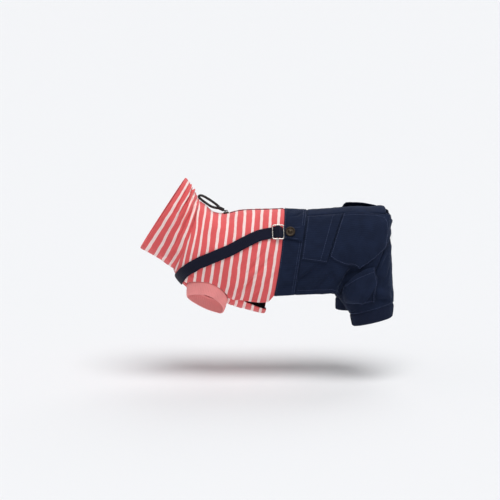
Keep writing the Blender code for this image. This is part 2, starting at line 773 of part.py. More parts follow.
def zip_pull(plastic):
    """A bar through the bridge, two arms, a moulded grip and a loop of cord, lying forward at rest."""
    axis = pull_axis()
    hub = bpy.data.objects.new("zip_pull_axis", None)
    hub.location = axis * MM
    bpy.context.collection.objects.link(hub)
    lean = Matrix.Translation(axis * MM) @ Matrix.Rotation(math.radians(PULL_LEAN), 4, "Y")
    bar = block("zip_pull", (1.1, 5.6, 1.1), (0, 0, 0), lean, plastic)
    arms = [
        block(f"pull_arm_{n}", (6.6, 1, 1.4), (-2.55, y, 0), lean, plastic)
        for n, y in enumerate((-2.4, 2.4))
    ]
    grip = block("pull_grip", (11, 5.4, 5), (-10.5, 0, 0.6), lean, plastic, 0.9)
    loop = [
        Vector((p.x, 0, p.z)) for p in (smooth(PULL_LOOP, run) for run in steps(0, PULL_LOOP[-1].run, 0.5))
    ]
    cord = tube_along("pull_loop", loop, PULL_CORD / 2, plastic)
    unite(bar, arms + [grip, cord])
    bar.parent = hub
    bar.location = -hub.location


# ---------------------------------------------------------------- the jumpsuit

def build():
    for obj in list(bpy.data.objects):
        bpy.data.objects.remove(obj, do_unlink=True)
    stripes = material("striped_jersey", "e0686c", 0.9)
    coral = material("coral_rib", "eb8284", 0.9)
    navy = material("navy_twill", "2b3450", 0.88)
    navy_rib = material("navy_rib", "232a3f", 0.9)
    webbing = material("navy_webbing", "212130", 0.75)
    silver = material("silver_wire", "c9c6c2", 0.3, 1)
    bronze = material("bronze", "4a3a2e", 0.45, 1)
    black = material("black_plastic", "16161a", 0.6)

    collar(stripes)
    chest_panel(stripes)
    belly_hem_band(webbing)
    waistband(navy)
    back_yoke(navy)
    zip_tape(webbing)
    zip_coil(webbing)
    zip_slider(bronze)
    zip_pull(black)
    for side, top, leg in (("left", torso, left_trouser), ("right", right_torso, right_trouser)):
        top_back(side, top, stripes)
        sleeve_cuff(side, top, coral)
        trouser(side, leg, navy)
        leg_cuff(side, leg, navy_rib)
        pocket(f"front_pocket_{side}", FRONT_POCKET, leg, navy)
        pocket(f"back_pocket_{side}", BACK_POCKET, leg, navy, BACK_POCKET_GAPE[side])
        pocket(f"thigh_pocket_{side}", THIGH_POCKET, leg, navy, THIGH_POCKET_GAPE)
        strap(side, top, webbing)
        slider(side, top, silver)
        tab(side, top, navy)
        button(side, top, bronze)


build()
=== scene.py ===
"""Dog jumpsuit, worn: the visual model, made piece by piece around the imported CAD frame.

Metres, -X toward the collar, -Y the garment's left, +Z up. A place on the cloth is named by `t`, the
millimetres from the collar's front edge toward the tail opening, and `around`, the degrees from the spine
down the side. Every piece of cloth starts as a flat grid that is shaped onto the garment's surface.
"""

import json
import math
from collections import namedtuple

import bmesh
import bpy
import numpy as np
from mathutils import Matrix, Vector

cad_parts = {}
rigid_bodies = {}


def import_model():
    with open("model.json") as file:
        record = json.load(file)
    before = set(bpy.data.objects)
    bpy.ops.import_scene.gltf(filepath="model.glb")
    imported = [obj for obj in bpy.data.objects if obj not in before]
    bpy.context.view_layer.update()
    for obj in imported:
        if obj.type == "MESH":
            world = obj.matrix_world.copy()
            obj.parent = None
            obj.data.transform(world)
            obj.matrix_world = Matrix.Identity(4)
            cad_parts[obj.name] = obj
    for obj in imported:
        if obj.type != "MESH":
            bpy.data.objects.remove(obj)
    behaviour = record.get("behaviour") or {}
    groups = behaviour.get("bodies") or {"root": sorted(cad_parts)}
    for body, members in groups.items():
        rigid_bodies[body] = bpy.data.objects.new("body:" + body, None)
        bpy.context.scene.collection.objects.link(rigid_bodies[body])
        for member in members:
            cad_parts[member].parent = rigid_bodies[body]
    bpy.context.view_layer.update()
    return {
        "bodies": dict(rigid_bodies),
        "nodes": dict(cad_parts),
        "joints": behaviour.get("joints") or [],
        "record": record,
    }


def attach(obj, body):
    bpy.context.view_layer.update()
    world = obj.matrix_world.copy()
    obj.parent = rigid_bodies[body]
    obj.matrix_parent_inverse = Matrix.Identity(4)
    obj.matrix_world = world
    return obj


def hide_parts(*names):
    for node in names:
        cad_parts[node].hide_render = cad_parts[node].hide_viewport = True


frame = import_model()

# ---------------------------------------------------------------- studio
# A pale seamless floor under one very large soft light, a weaker one from behind, and the camera at the
# garment's left, 8 degrees above the horizon.

MM = 0.001


def srgb(colour):
    """The linear colour of an sRGB hex value."""
    parts = (int(colour[i:i + 2], 16) / 255 for i in (0, 2, 4))
    return (*(p / 12.92 if p < 0.04045 else ((p + 0.055) / 1.055) ** 2.4 for p in parts), 1)


def add(tree, kind, inputs=(), **settings):
    """Adds a shader node with its settings, and sets or links its inputs."""
    node = tree.nodes.new("ShaderNode" + kind)
    for name, value in settings.items():
        setattr(node, name, value)
    for socket, value in dict(inputs).items():
        if isinstance(value, bpy.types.NodeSocket):
            tree.links.new(value, node.inputs[socket])
        elif kind == "VectorMath" and socket == 0:
            node.inputs[socket].default_value = value[:3]
        else:
            node.inputs[socket].default_value = value
    return node


def new_finish(name, **sockets):
    """A material and its shader, with the values that are the same all over it."""
    made = bpy.data.materials.new(name)
    made.use_nodes = True
    shader = made.node_tree.nodes["Principled BSDF"]
    for socket, value in sockets.items():
        shader.inputs[socket.replace("_", " ")].default_value = value
    return made, made.node_tree, shader


def look_from(thing, place, target):
    thing.location = place
    thing.rotation_euler = (Vector(target) - Vector(place)).to_track_quat("-Z", "Y").to_euler()
    bpy.context.scene.collection.objects.link(thing)


FLOOR_Z = -0.252
view = bpy.data.cameras.new("camera")
view.lens = 144
view.clip_end = 150
camera = bpy.data.objects.new("camera", view)
look_from(camera, (-0.021, -3.0008, 0.3611), (-0.021, -0.030, -0.0564))
bpy.context.scene.camera = camera

bpy.context.scene.view_settings.view_transform = "Standard"

for name, place, spread, strength in (
    ("key_light", (0.35, -0.8, 2.4), 45, 2.3),
    ("back_light", (0.5, 1.8, 1.5), 40, 0.7),
):
    lamp = bpy.data.lights.new(name, "SUN")
    lamp.angle = math.radians(spread)
    lamp.energy = strength
    look_from(bpy.data.objects.new(name, lamp), place, (0, 0, 0))

world = bpy.data.worlds.new("studio")
bpy.context.scene.world = world
world.use_nodes = True
sky = world.node_tree.nodes["Background"]
sky.inputs[0].default_value = srgb("f4f5f7")
horizon = add(world.node_tree, "TexCoord").outputs["Generated"]
height = add(world.node_tree, "SeparateXYZ", {0: horizon}).outputs[2]
# Bright at the horizon, as the paper is, and dimmer above it.
rise = add(world.node_tree, "MapRange", {0: height, 1: 0.02, 2: 0.12, 3: 0.98, 4: 0.3})
world.node_tree.links.new(rise.outputs[0], sky.inputs[1])

paper = new_finish("seamless_paper", Base_Color=srgb("ebecee"), Roughness=0.95, Specular_IOR_Level=0.1)[0]
bm = bmesh.new()
bmesh.ops.create_circle(bm, cap_ends=True, segments=96, radius=90)
bmesh.ops.translate(bm, verts=bm.verts, vec=(0, 0, FLOOR_Z))
floor_mesh = bpy.data.meshes.new("floor")
bm.to_mesh(floor_mesh)
bm.free()
floor_mesh.materials.append(paper)
floor = bpy.data.objects.new("floor", floor_mesh)
bpy.context.scene.collection.objects.link(floor)

# ---------------------------------------------------------------- collar
# A turtleneck of striped cotton jersey, a doubled tube 53 mm long sewn round the neck opening. It is pushed
# down on itself, so that slanting folds cross its sides and nape. All of the top is cut from this jersey,
# knitted with a 4.5 mm white stripe every 13 mm.

Ring = namedtuple("Ring", "t top_x top_z low_x low_z centre_y half_width bow")
Fold = namedtuple("Fold", "t_from around_from t_to around_to half_width height")
Crease = namedtuple("Crease", "depth width points")
FULLNESS = 0.035
TURN = 1.05  # mm that one degree measures round the body
NECK_SEAM, WAIST_SEAM, WAISTBAND_END, YOKE_END, LEG_SEAM = 53, 186, 220, 326, 412
SEAM = 0.15  # half the gap between two sewn pieces, mm

# The torso's rings in mm: where each crosses the spine and the belly's middle, and its half width.
TORSO = [
    Ring(0, -118.1, 49.4, -187.4, -57.0, 0, 44, 0),
    Ring(13, -111.0, 40.9, -173.3, -64.8, 0, 44, 0),
    Ring(27, -106.8, 32.6, -159.8, -72.7, 0, 45, 1),
    Ring(40, -102.3, 24.2, -148.5, -80.7, 0, 47, 2.5),
    Ring(53, -96.8, 14.4, -138.0, -88.6, 0, 50, 4.3),
    Ring(60, -87.8, 7.6, -130.5, -103.0, 0, 53, 1.5),
    Ring(66.5, -81.8, 1.5, -118.0, -115.9, 0, 55.5, 0),
    Ring(73, -76.5, -2.3, -101.5, -124.2, 0, 58, -1.5),
    Ring(86, -66.8, -4.5, -82.8, -131.8, 0, 61, -2),
    Ring(99, -55.0, -4.2, -69.0, -136.3, 0, 62, -2),
    Ring(112, -42.8, -0.9, -56.3, -140.9, 0, 62, -1),
    Ring(125, -31.0, 1.1, -46.5, -145.4, 0, 61.5, 0),
    Ring(138, -19.0, 1.5, -36.0, -148.4, 0, 61, 3),
    Ring(151, -5.6, 2.0, -23.3, -151.5, 0, 60, 3),
    Ring(164, 8.7, 2.4, -11.3, -155.0, 0, 59, 3),
    Ring(177, 22.5, 2.9, 1.5, -156.8, 0, 58, 3.4),
    Ring(186, 30.8, 3.0, 7.5, -157.5, 0, 57.5, 3.4),
    Ring(220, 65.6, 1.1, 41.3, -157.5, 0, 57.5, -1),
]
TORSO_FOLDS = [
    Fold(16, 8, 25, 100, 4.5, 3.0),
    Fold(24, 4, 36, 120, 4.0, -2.6),
    Fold(31, 6, 45, 118, 4.5, 2.8),
    Fold(40, 20, 47, 150, 4.0, -2.4),
    Fold(57, 35, 60, 96, 4.5, -2.2),
    Fold(118, 140, 150, 95, 7.0, 2.2),
    Fold(128, 142, 168, 118, 6.0, -2.0),
]


def smooth(table, t):
    """The columns of a table at the values t of its first column, on a smooth curve through its rows.

    Beyond the table's ends the curve goes straight on."""
    rows = np.array(table, float)
    at = rows[:, 0]
    i = np.clip(np.searchsorted(at, t, side="right") - 1, 0, len(at) - 2)
    before, after = np.maximum(i - 1, 0), np.minimum(i + 2, len(at) - 1)
    span = (at[i + 1] - at[i])[..., None]
    k = np.clip((t - at[i])[..., None] / span, 0, 1)
    leave = (rows[i + 1] - rows[before]) / (at[i + 1] - at[before])[..., None] * span
    arrive = (rows[after] - rows[i]) / (at[after] - at[i])[..., None] * span
    found = (
        rows[i] * (1 + 2 * k) * (1 - k) ** 2 + leave * k * (1 - k) ** 2
        + rows[i + 1] * k * k * (3 - 2 * k) - arrive * k * k * (1 - k)
    )
    beyond = np.minimum(t - at[0], 0) + np.maximum(t - at[-1], 0)
    found += np.where((beyond < 0)[..., None], leave, arrive) / span * beyond[..., None]
    return np.moveaxis(found, -1, 0)


def ring_point(table, t, around):
    """Points of the rings, in mm."""
    _, top_x, top_z, low_x, low_z, centre_y, half_width, bow = smooth(table, t)
    a = np.radians(around)
    half_x, half_z = (top_x - low_x) / 2, (top_z - low_z) / 2
    size = np.hypot(half_x, half_z)
    full = 1 + FULLNESS * np.sin(2 * a) ** 2
    back = bow * np.sin(a) ** 2 / size
    return np.stack([
        (top_x + low_x) / 2 + half_x * full * np.cos(a) + half_z * back,
        centre_y - half_width * full * np.sin(a),
        (top_z + low_z) / 2 + half_z * full * np.cos(a) - half_x * back,
    ], axis=-1)


def fold_height(folds, t, around):
    """How far the folds lift the cloth, in mm."""
    height = np.zeros(np.shape(t))
    for fold in folds:
        run = np.array([fold.t_to - fold.t_from, fold.around_to - fold.around_from])
        x, y = t - fold.t_from, around - fold.around_from
        length = np.hypot(*run)
        along = (x * run[0] + y * run[1]) / length ** 2
        across = np.abs(x * run[1] - y * run[0]) / length
        near = (along > 0) & (along < 1) & (across < fold.half_width * 2)
        height += near * (
            fold.height * np.sin(math.pi * np.clip(along, 0, 1)) ** 0.7
            * np.cos(math.pi / 4 * np.minimum(across / fold.half_width, 2)) ** 2
        )
    return height


def outward(cloth, t, around):
    """The way out of a surface, unit long."""
    step = 0.4
    along = cloth(t + step, around) - cloth(t - step, around)
    over = cloth(t, around + step) - cloth(t, around - step)
    way = np.cross(over, along)
    return way / np.maximum(np.linalg.norm(way, axis=-1, keepdims=True), 1e-9)


def torso(t, around, out=0):
    """Points of the top, `out` mm outside its cloth, in mm."""
    def base(s, a):
        return ring_point(TORSO, s, a)

    def cloth(s, a):
        return base(s, a) + outward(base, s, a) * fold_height(TORSO_FOLDS, s, np.abs(a))[..., None]
    t, around, out = np.broadcast_arrays(np.asarray(t, float), around, out)
    return cloth(t, around) + outward(cloth, t, around) * out[..., None]


def right_torso(t, around, out=0):
    return torso(t, -np.asarray(around, float), out)


SIDES = (("left", torso), ("right", right_torso))
CRUMPLE_WAVES = 7


def crumple(t, around, size, seed):
    """Small irregular waves of the cloth about `size` mm apart, between -1 and 1."""
    draw = np.random.default_rng(seed)
    ranges = ((0, 6.3), (0, 6.3), (0.6, 1.7))  # each wave's direction, phase and scale
    total = 0
    for turn, phase, scale in zip(*(draw.uniform(low, high, CRUMPLE_WAVES) for low, high in ranges)):
        along = (t * math.cos(turn) + around * math.sin(turn)) / size * scale
        across = (around * math.cos(turn) - t * math.sin(turn)) / size * scale
        total = total + np.sin(along * math.tau + phase + 1.4 * np.sin(across * 2.1 + phase))
    return total / CRUMPLE_WAVES


def creased(creases, t, around):
    """The finer folds that the CAD solids leave out: valleys, the narrow ones with soft lips, or ridges of
    negative depth."""
    height = np.zeros(np.shape(t))
    for crease in creases:
        line = np.array(crease.points, float)
        runs = np.concatenate([[0], np.cumsum(np.linalg.norm(np.diff(line, axis=0), axis=1))])
        nearest, share = np.full(np.shape(t), 1e3), np.zeros(np.shape(t))
        for a, b, start, end in zip(line, line[1:], runs, runs[1:]):
            x, y, way = t - a[0], around - a[1], b - a
            k = np.clip((x * way[0] + y * way[1]) / (way @ way), 0, 1)
            away = np.hypot(x - k * way[0], y - k * way[1])
            share = np.where(away < nearest, (start + k * (end - start)) / runs[-1], share)
            nearest = np.minimum(away, nearest)
        fade = np.clip(np.sin(math.pi * (0.04 + 0.92 * share)), 0, 1) ** 0.7
        x = nearest / crease.width
        lip = 0.42 * max(1 - crease.width / 4.5, 0)
        height -= crease.depth * fade * (np.exp(-x * x) - lip * np.exp(-(((x - 2.2) / 1.1) ** 2)))
    return height


def pinch(distance, depth=0.9, width=1.4):
    """How a line of stitches draws the cloth in, `distance` mm from it."""
    return -depth * np.exp(-(distance / width) ** 2)


def seam(distance):
    """A seam `distance` mm away. Beyond it the allowance goes down under the other piece."""
    return pinch(np.maximum(distance, 0)) + 1.4 * np.minimum(distance, 0)


def hem(distance, width, step=0.5):
    """The extra height of a turned hem `width` mm wide, with its stitches drawn in and its edge rounded."""
    inside = 1 / (1 + np.exp((distance - width) / 0.35))
    rounded = np.clip(1 - distance / 1.0, 0, 1) ** 2
    return step * inside + pinch(distance - width + 1.2, 0.35, 0.9) - 0.8 * rounded


def finish_piece(name, bm, finish, sharp=50):
    """Makes the named object from a mesh."""
    mesh = bpy.data.meshes.new(name)
    bm.to_mesh(mesh)
    bm.free()
    mesh.shade_smooth()
    mesh.set_sharp_from_angle(angle=math.radians(sharp))
    mesh.materials.append(finish)
    piece = bpy.data.objects.new(name, mesh)
    bpy.context.scene.collection.objects.link(piece)
    return piece


def length_from(start, surface, t, around):
    """The cloth's length from the line t = start forward to each place, in mm."""
    rows, turns = np.linspace(t.min(), t.max(), 161), np.linspace(around.min(), around.max(), 73)
    points = surface(*np.meshgrid(rows, turns, indexing="ij"))
    runs = np.concatenate([
        np.zeros((1, len(turns))), np.cumsum(np.linalg.norm(np.diff(points, axis=0), axis=-1), axis=0),
    ])
    runs = np.array([np.interp(start, rows, column) for column in runs.T]) - runs
    i = np.interp(t, rows, np.arange(len(rows)))
    j = np.interp(around, turns, np.arange(len(turns)))
    low_i, low_j = np.minimum(i.astype(int), len(rows) - 2), np.minimum(j.astype(int), len(turns) - 2)
    i, j = i - low_i, j - low_j
    return (
        (runs[low_i, low_j] * (1 - j) + runs[low_i, low_j + 1] * j) * (1 - i)
        + (runs[low_i + 1, low_j] * (1 - j) + runs[low_i + 1, low_j + 1] * j) * i
    )


def cut_cloth(name, across, along, place, surface, wall, finish, tube=False, cut_from=None):
    """A piece of cloth: a grid laid on a surface and given its thickness inward.

    `place` turns the grid's two shares, across and along, into t, around and height above the surface.
    The stripes are counted from t = 0, or forward from t = `cut_from` by the cloth's own length."""
    bm = bmesh.new()
    bmesh.ops.create_grid(bm, x_segments=across, y_segments=along, size=0.5)
    verts = list(bm.verts)
    u, v = (np.array([vert.co[axis] for vert in verts]) + 0.5 for axis in (0, 1))
    t, around, out = np.broadcast_arrays(*place(u, v))
    points = surface(t, around, out) * MM
    above = surface(t, around, out + 1) * MM
    length = t if cut_from is None else length_from(cut_from, surface, t, around)
    cloth = bm.loops.layers.uv.new("cloth")
    bm.verts.index_update()
    for face in bm.faces:
        for loop in face.loops:
            i = loop.vert.index
            loop[cloth].uv = (around[i] * TURN * MM, length[i] * MM)
    for vert, point in zip(verts, points):
        vert.co = point
    bm.normal_update()
    ways = (above - points)[[face.verts[0].index for face in bm.faces]]
    if sum(face.normal.dot(Vector(way)) for face, way in zip(bm.faces, ways)) < 0:
        bmesh.ops.reverse_faces(bm, faces=bm.faces[:])
    if tube:
        bmesh.ops.remove_doubles(bm, verts=bm.verts, dist=1e-6)
    piece = finish_piece(f"{name}_cloth", bm, finish)
    thickness = piece.modifiers.new("thickness", "SOLIDIFY")
    thickness.thickness = wall * MM
    return piece


def stands_for(piece, node, body="garment"):
    """A piece rides on a body and takes the place of its CAD node."""
    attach(piece, body)
    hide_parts(node)


def sewn(piece, node):
    """A piece of cloth in place of its CAD node on the garment."""
    stands_for(piece, node)


def yarn_waves(tree, wales, courses, lean=0.0):
    """Two crossed waves of yarn on the cloth's own coordinates, `wales` and `courses` apart in mm."""
    uv = add(tree, "UVMap", uv_map="cloth")
    split = add(tree, "SeparateXYZ", {0: uv.outputs[0]})
    slanted = add(tree, "Math", {0: split.outputs[0], 1: lean, 2: split.outputs[1]}, operation="MULTIPLY_ADD")
    first = add(tree, "Math", {0: split.outputs[0], 1: math.tau / (wales * MM)}, operation="MULTIPLY")
    wale = add(tree, "Math", {0: first.outputs[0]}, operation="SINE")
    second = add(tree, "Math", {0: slanted.outputs[0], 1: math.tau / (courses * MM)}, operation="MULTIPLY")
    loop_turn = add(tree, "Math", {0: wale.outputs[0], 1: 1.3, 2: second.outputs[0]}, operation="MULTIPLY_ADD")
    course = add(tree, "Math", {0: loop_turn.outputs[0]}, operation="SINE")
    both = add(tree, "Math", {0: wale.outputs[0], 1: course.outputs[0]}, operation="ADD")
    return split, both.outputs[0]


def tinted(tree, colour, waves, depth, patches=0.06, patch_scale=45):
    """A colour with its yarns' shade and faint uneven patches."""
    noise = add(tree, "TexNoise", {
        "Vector": add(tree, "TexCoord").outputs["Object"], "Scale": patch_scale, "Detail": 4.0,
    })
    patch = add(tree, "MapRange", {0: noise.outputs[0], 1: 0.3, 2: 0.7, 3: 1 - patches, 4: 1 + patches})
    shade = add(tree, "Math", {0: waves, 1: depth, 2: patch.outputs[0]}, operation="MULTIPLY_ADD")
    made = add(tree, "VectorMath", {0: colour, "Scale": shade.outputs[0]}, operation="SCALE")
    return made.outputs[0]


def yarn_bump(tree, waves, shader, strength, fuzz=0.25):
    """The relief of the yarns, with a little fuzz over it."""
    noise = add(tree, "TexNoise", {
        "Vector": add(tree, "TexCoord").outputs["Object"], "Scale": 900.0, "Detail": 3.0,
    })
    height = add(tree, "Math", {0: noise.outputs[0], 1: fuzz * 4, 2: waves}, operation="MULTIPLY_ADD")
    bump = add(tree, "Bump", {"Height": height.outputs[0], "Strength": strength, "Distance": 0.0003})
    tree.links.new(bump.outputs[0], shader.inputs["Normal"])


def dyed_cloth(name, colour, yarns, shade, relief, **sockets):
    """A fabric of one colour, from its yarns' spacings and how deep their shade and relief go."""
    made, tree, shader = new_finish(name, **sockets)
    _, waves = yarn_waves(tree, *yarns)
    tree.links.new(tinted(tree, srgb(colour), waves, *shade), shader.inputs["Base Color"])
    yarn_bump(tree, waves, shader, relief)
    return made


SOFT_COTTON = {"Roughness": 0.92, "Sheen_Weight": 0.25, "Sheen_Roughness": 0.5, "Specular_IOR_Level": 0.2}


# Single jersey of combed cotton: matt, faintly fuzzy, its loops drawn 1.5 mm apart, coarser than real ones,
# so that they show.
STRIPE_PITCH, STRIPE_WIDTH, FIRST_STRIPE = 12.8, 4.5, 7.9
striped_jersey, tree, shader = new_finish("striped_cotton_jersey", **SOFT_COTTON)
split, waves = yarn_waves(tree, 1.5, 1.7)
drift = add(tree, "TexNoise", {"Vector": add(tree, "TexCoord").outputs["Object"], "Scale": 42.0, "Detail": 2.0})
moved = add(tree, "Math", {0: drift.outputs[0], 1: 0.0032, 2: split.outputs[1]}, operation="MULTIPLY_ADD")
start = add(tree, "Math", {
    0: moved.outputs[0], 1: (FIRST_STRIPE - STRIPE_WIDTH / 2) * MM + 0.0016,
}, operation="SUBTRACT")
turns = add(tree, "Math", {0: start.outputs[0], 1: STRIPE_PITCH * MM}, operation="DIVIDE")
turn = add(tree, "Math", {0: turns.outputs[0]}, operation="FRACT")
white_share, soft = STRIPE_WIDTH / STRIPE_PITCH, 0.035
enter = add(
    tree, "MapRange", {0: turn.outputs[0], 1: 0.0, 2: soft, 3: 0.0, 4: 1.0}, interpolation_type="SMOOTHSTEP",
)
leave = add(tree, "MapRange", {
    0: turn.outputs[0], 1: white_share - soft, 2: white_share, 3: 1.0, 4: 0.0,
}, interpolation_type="SMOOTHSTEP")
white = add(tree, "Math", {0: enter.outputs[0], 1: leave.outputs[0]}, operation="MULTIPLY")
stripes = add(tree, "Mix", {0: white.outputs[0], 6: srgb("e65f61"), 7: srgb("fde3df")}, data_type="RGBA")
tree.links.new(tinted(tree, stripes.outputs[2], waves, 0.035), shader.inputs["Base Color"])
yarn_bump(tree, waves, shader, 0.3)
JERSEY = 1.4
COLLAR_CREASES = [
    Crease(3.2, 1.6, [(28, -22), (26.9, 27), (22.8, 66), (21.2, 95), (19.3, 126)]),
    Crease(3.0, 1.5, [(49, -10), (46.6, 22), (39.6, 73), (39.3, 90), (35, 124)]),
    Crease(2.4, 1.5, [(35, -14), (33, 30), (31.5, 74), (30, 96)]),
    Crease(-1.4, 2.2, [(31, -10), (30, 20), (26, 60)]),
    Crease(2.0, 1.6, [(15, -10), (12, 40), (14, 84)]),
    Crease(2.2, 1.6, [(54, 24), (52, 66), (50.5, 96), (46, 126)]),
    Crease(1.6, 1.5, [(47, 95), (44, 130), (47, 168)]),
    Crease(1.2, 1.6, [(30, 128), (27, 150), (31, 176)]),
]


def collar_place(u, v):
    t = v * (NECK_SEAM + 1.5)
    around = u * 360 - 180
    height = 0.45 * crumple(t, around, 17, 3) + creased(COLLAR_CREASES, t, np.abs(around))
    height = height + seam(NECK_SEAM - t)
    height = height - 1.0 * np.clip(1 - t / 1.2, 0, 1) ** 2 + 0.25 * np.exp(-((t - 3) / 2.5) ** 2)
    return t, around, height


collar = cut_cloth("collar", 300, 50, collar_place, torso, 2.0, striped_jersey, tube=True)
sewn(collar, "collar")

# ---------------------------------------------------------------- back of the top
# Two mirrored panels of the striped jersey, joined down the spine, first by a seam and then by the zip, and
# cut out round the armholes. Their lower rear edges are free beside the loose belly hem.

Edge = namedtuple("Edge", "t around")
SIDE_SEAM = [Edge(53, 164), Edge(66.5, 147), Edge(89, 145), Edge(113, 143), Edge(140, 139.8), Edge(152, 139)]
SIDE_EDGE = [Edge(140, 139.8), Edge(165, 135.5), Edge(176, 133.6), Edge(181, 129), Edge(186, 124)]
CHEST_EDGE = [Edge(140, 139.8), Edge(152, 142), Edge(165, 145), Edge(176.5, 147)]
ARMHOLE_MIDDLE, ARMHOLE_HALF, ARMHOLE_SPREAD, ARMHOLE_SKEW = 89.75, 23.25, 21, 0.25
SLIT_START, ZIP_FRONT, ZIP_SLOT = 140, 92, 3.4
SEAM_TURN = 0.16


def straight(edges, t):
    """The angle of an edge at t."""
    return np.interp(t, [edge.t for edge in edges], [edge.around for edge in edges])


def armhole(f):
    """The armhole's edge at a share f of its way round: its t, and degrees from the side seam."""
    turn = f * math.tau
    spread = ARMHOLE_SPREAD * (np.sin(turn) + ARMHOLE_SKEW * np.abs(np.sin(turn)) * np.cos(turn))
    return ARMHOLE_MIDDLE - ARMHOLE_HALF * np.cos(turn), spread


def armhole_spread(t):
    share = np.clip((ARMHOLE_MIDDLE - t) / ARMHOLE_HALF, -1, 1)
    return armhole(np.arccos(share) / math.tau)[1]


def side_seam(t, free_edge):
    return np.where(t <= SLIT_START, straight(SIDE_SEAM, t), straight(free_edge, t))


def panel_rows(v, end):
    """Values of t down a front panel, closer together at the armhole's ends."""
    turns = np.linspace(0, math.pi, 40)
    rows = np.concatenate([
        np.linspace(NECK_SEAM + SEAM, 66.4, 11), ARMHOLE_MIDDLE - ARMHOLE_HALF * np.cos(turns),
        np.linspace(114.2, end, int((end - 114.2) / 1.25) + 1),
    ])
    return np.interp(v, np.linspace(0, 1, len(rows)), rows), len(rows) - 1


TOP_CREASES = [
    Crease(2.8, 1.8, [(170, 80), (155, 97), (144.6, 109.5), (129.2, 134)]),
    Crease(2.0, 1.7, [(160, 74), (149, 88), (136, 104)]),
    Crease(1.6, 1.7, [(176, 100), (166, 112), (150, 134)]),
    Crease(1.6, 1.5, [(61, 119), (66, 123), (72, 124)]),
    Crease(1.3, 1.8, [(56, 34), (60, 64), (66, 92)]),
    Crease(1.0, 1.9, [(74, 20), (78, 60), (88, 92)]),
    Crease(1.1, 1.8, [(182, 96), (172, 108), (160, 128)]),
    Crease(0.9, 2.2, [(115, 26), (112, 60), (104, 92)]),
]
BACK_END = WAIST_SEAM + 1.5


def back_place(u, v):
    t, _ = panel_rows(v, BACK_END)
    spine = np.where(t > ZIP_FRONT, ZIP_SLOT, -1)
    side = side_seam(t, SIDE_EDGE) - armhole_spread(t) - SEAM_TURN
    around = spine + (side - spine) * u
    height = 0.35 * crumple(t, around, 21, 5) + creased(TOP_CREASES, t, around) + pinch(t - NECK_SEAM)
    below = (side - around) * TURN
    height = height + np.where(t > SLIT_START, hem(below, 6, 0.3), pinch(below)) + seam(WAIST_SEAM - t)
    return t, around, height + seam((around - np.maximum(spine, 0)) * TURN)


back_rows = panel_rows(np.zeros(1), BACK_END)[1]
for side, surface in SIDES:
    piece = cut_cloth(
        f"top_back_{side}", 130, back_rows, back_place, surface, JERSEY, striped_jersey, cut_from=WAIST_SEAM,
    )
    sewn(piece, f"top_back_{side}")

# ---------------------------------------------------------------- chest panel
# The front of the neck, the strip between the armholes and the belly in one piece of the striped jersey.
# Behind the side slits it hangs loose, with a turned hem.

BELLY_HEM = 176.5
CHEST_CREASES = [
    Crease(1.3, 1.8, [(56, 168), (61, 181), (57, 196)]),
    Crease(1.2, 2.0, [(118, 152), (126, 178), (119, 206)]),
    Crease(1.0, 2.0, [(146, 158), (141, 180), (150, 200)]),
]


def chest_place(u, v):
    t, _ = panel_rows(v, BELLY_HEM)
    spread = armhole_spread(t)
    allowance = np.where((t > SLIT_START) | (spread > 0.5), 0, 1.4)
    low = side_seam(t, CHEST_EDGE) + spread + SEAM_TURN - allowance
    around = low + (360 - 2 * low) * u
    edge = (np.minimum(u, 1 - u) * (360 - 2 * low) - allowance) * TURN
    height = 0.35 * crumple(t, around, 19, 8) + pinch(t - NECK_SEAM) + creased(CHEST_CREASES, t, around)
    height = height + np.where(t > SLIT_START, hem(edge, 5, 0.25), seam(edge))
    return t, around, height + hem(BELLY_HEM - t, 9, 0.3)


chest_rows = panel_rows(np.zeros(1), BELLY_HEM)[1]
chest = cut_cloth(
    "chest_panel", 90, chest_rows, chest_place, torso, JERSEY, striped_jersey, cut_from=BELLY_HEM + 5.5,
)
sewn(chest, "chest_panel")

# ---------------------------------------------------------------- belly hem band
# Navy elastic, 30 mm wide, sewn inside the loose belly hem. It shows in the slits.

navy_elastic = dyed_cloth(
    "navy_woven_elastic", "12141f", (1.6, 2.6), (0.08,), 0.5,
    Roughness=0.8, Sheen_Weight=0.05, Specular_IOR_Level=0.12,
)
BAND_WIDTH = 30


def band_place(u, v):
    t = BELLY_HEM - BAND_WIDTH + v * (BAND_WIDTH - 0.6)
    low = side_seam(t, CHEST_EDGE) + 1
    around = low + (360 - 2 * low) * u
    return t, around, -1.9 + 0.12 * np.sin(t * math.tau / 3.2)


band = cut_cloth("belly_hem_band", 60, 36, band_place, torso, 1.2, navy_elastic)
sewn(band, "belly_hem_band")

# ---------------------------------------------------------------- sleeve cuffs
# Coral rib cuffs, doubled and sewn straight to the armholes, 19 mm deep. They are a little narrower at their
# lower edge, with a rounded fold there.

coral_rib = dyed_cloth("coral_cotton_rib", "ff9e9c", (2.1, 1.6), (0.03,), 0.4, **SOFT_COTTON)
SLEEVE_CUFF, SLEEVE_NARROWING, RIB = 19, 0.08, 2.0


def sleeve_surface(top, down):
    """A cuff's surface: t runs down the sleeve and around goes round it, as lengths in mm over TURN."""
    shares = np.linspace(0, 1, 241)
    t, spread = armhole(shares)
    edge = top(t, straight(SIDE_SEAM, t) - spread)
    middle = edge[:-1].mean(axis=0)
    inward = middle - edge
    inward -= np.outer(inward @ down, down)
    ways = inward / np.linalg.norm(inward, axis=1, keepdims=True)

    def surface(t, around, out):
        i = np.round(around / 130 * 240).astype(int)
        k = t / SLEEVE_CUFF
        return (
            edge[i] + down * t[:, None] + inward[i] * (SLEEVE_NARROWING * k)[:, None]
            - ways[i] * np.asarray(out)[:, None]
        )
    return surface


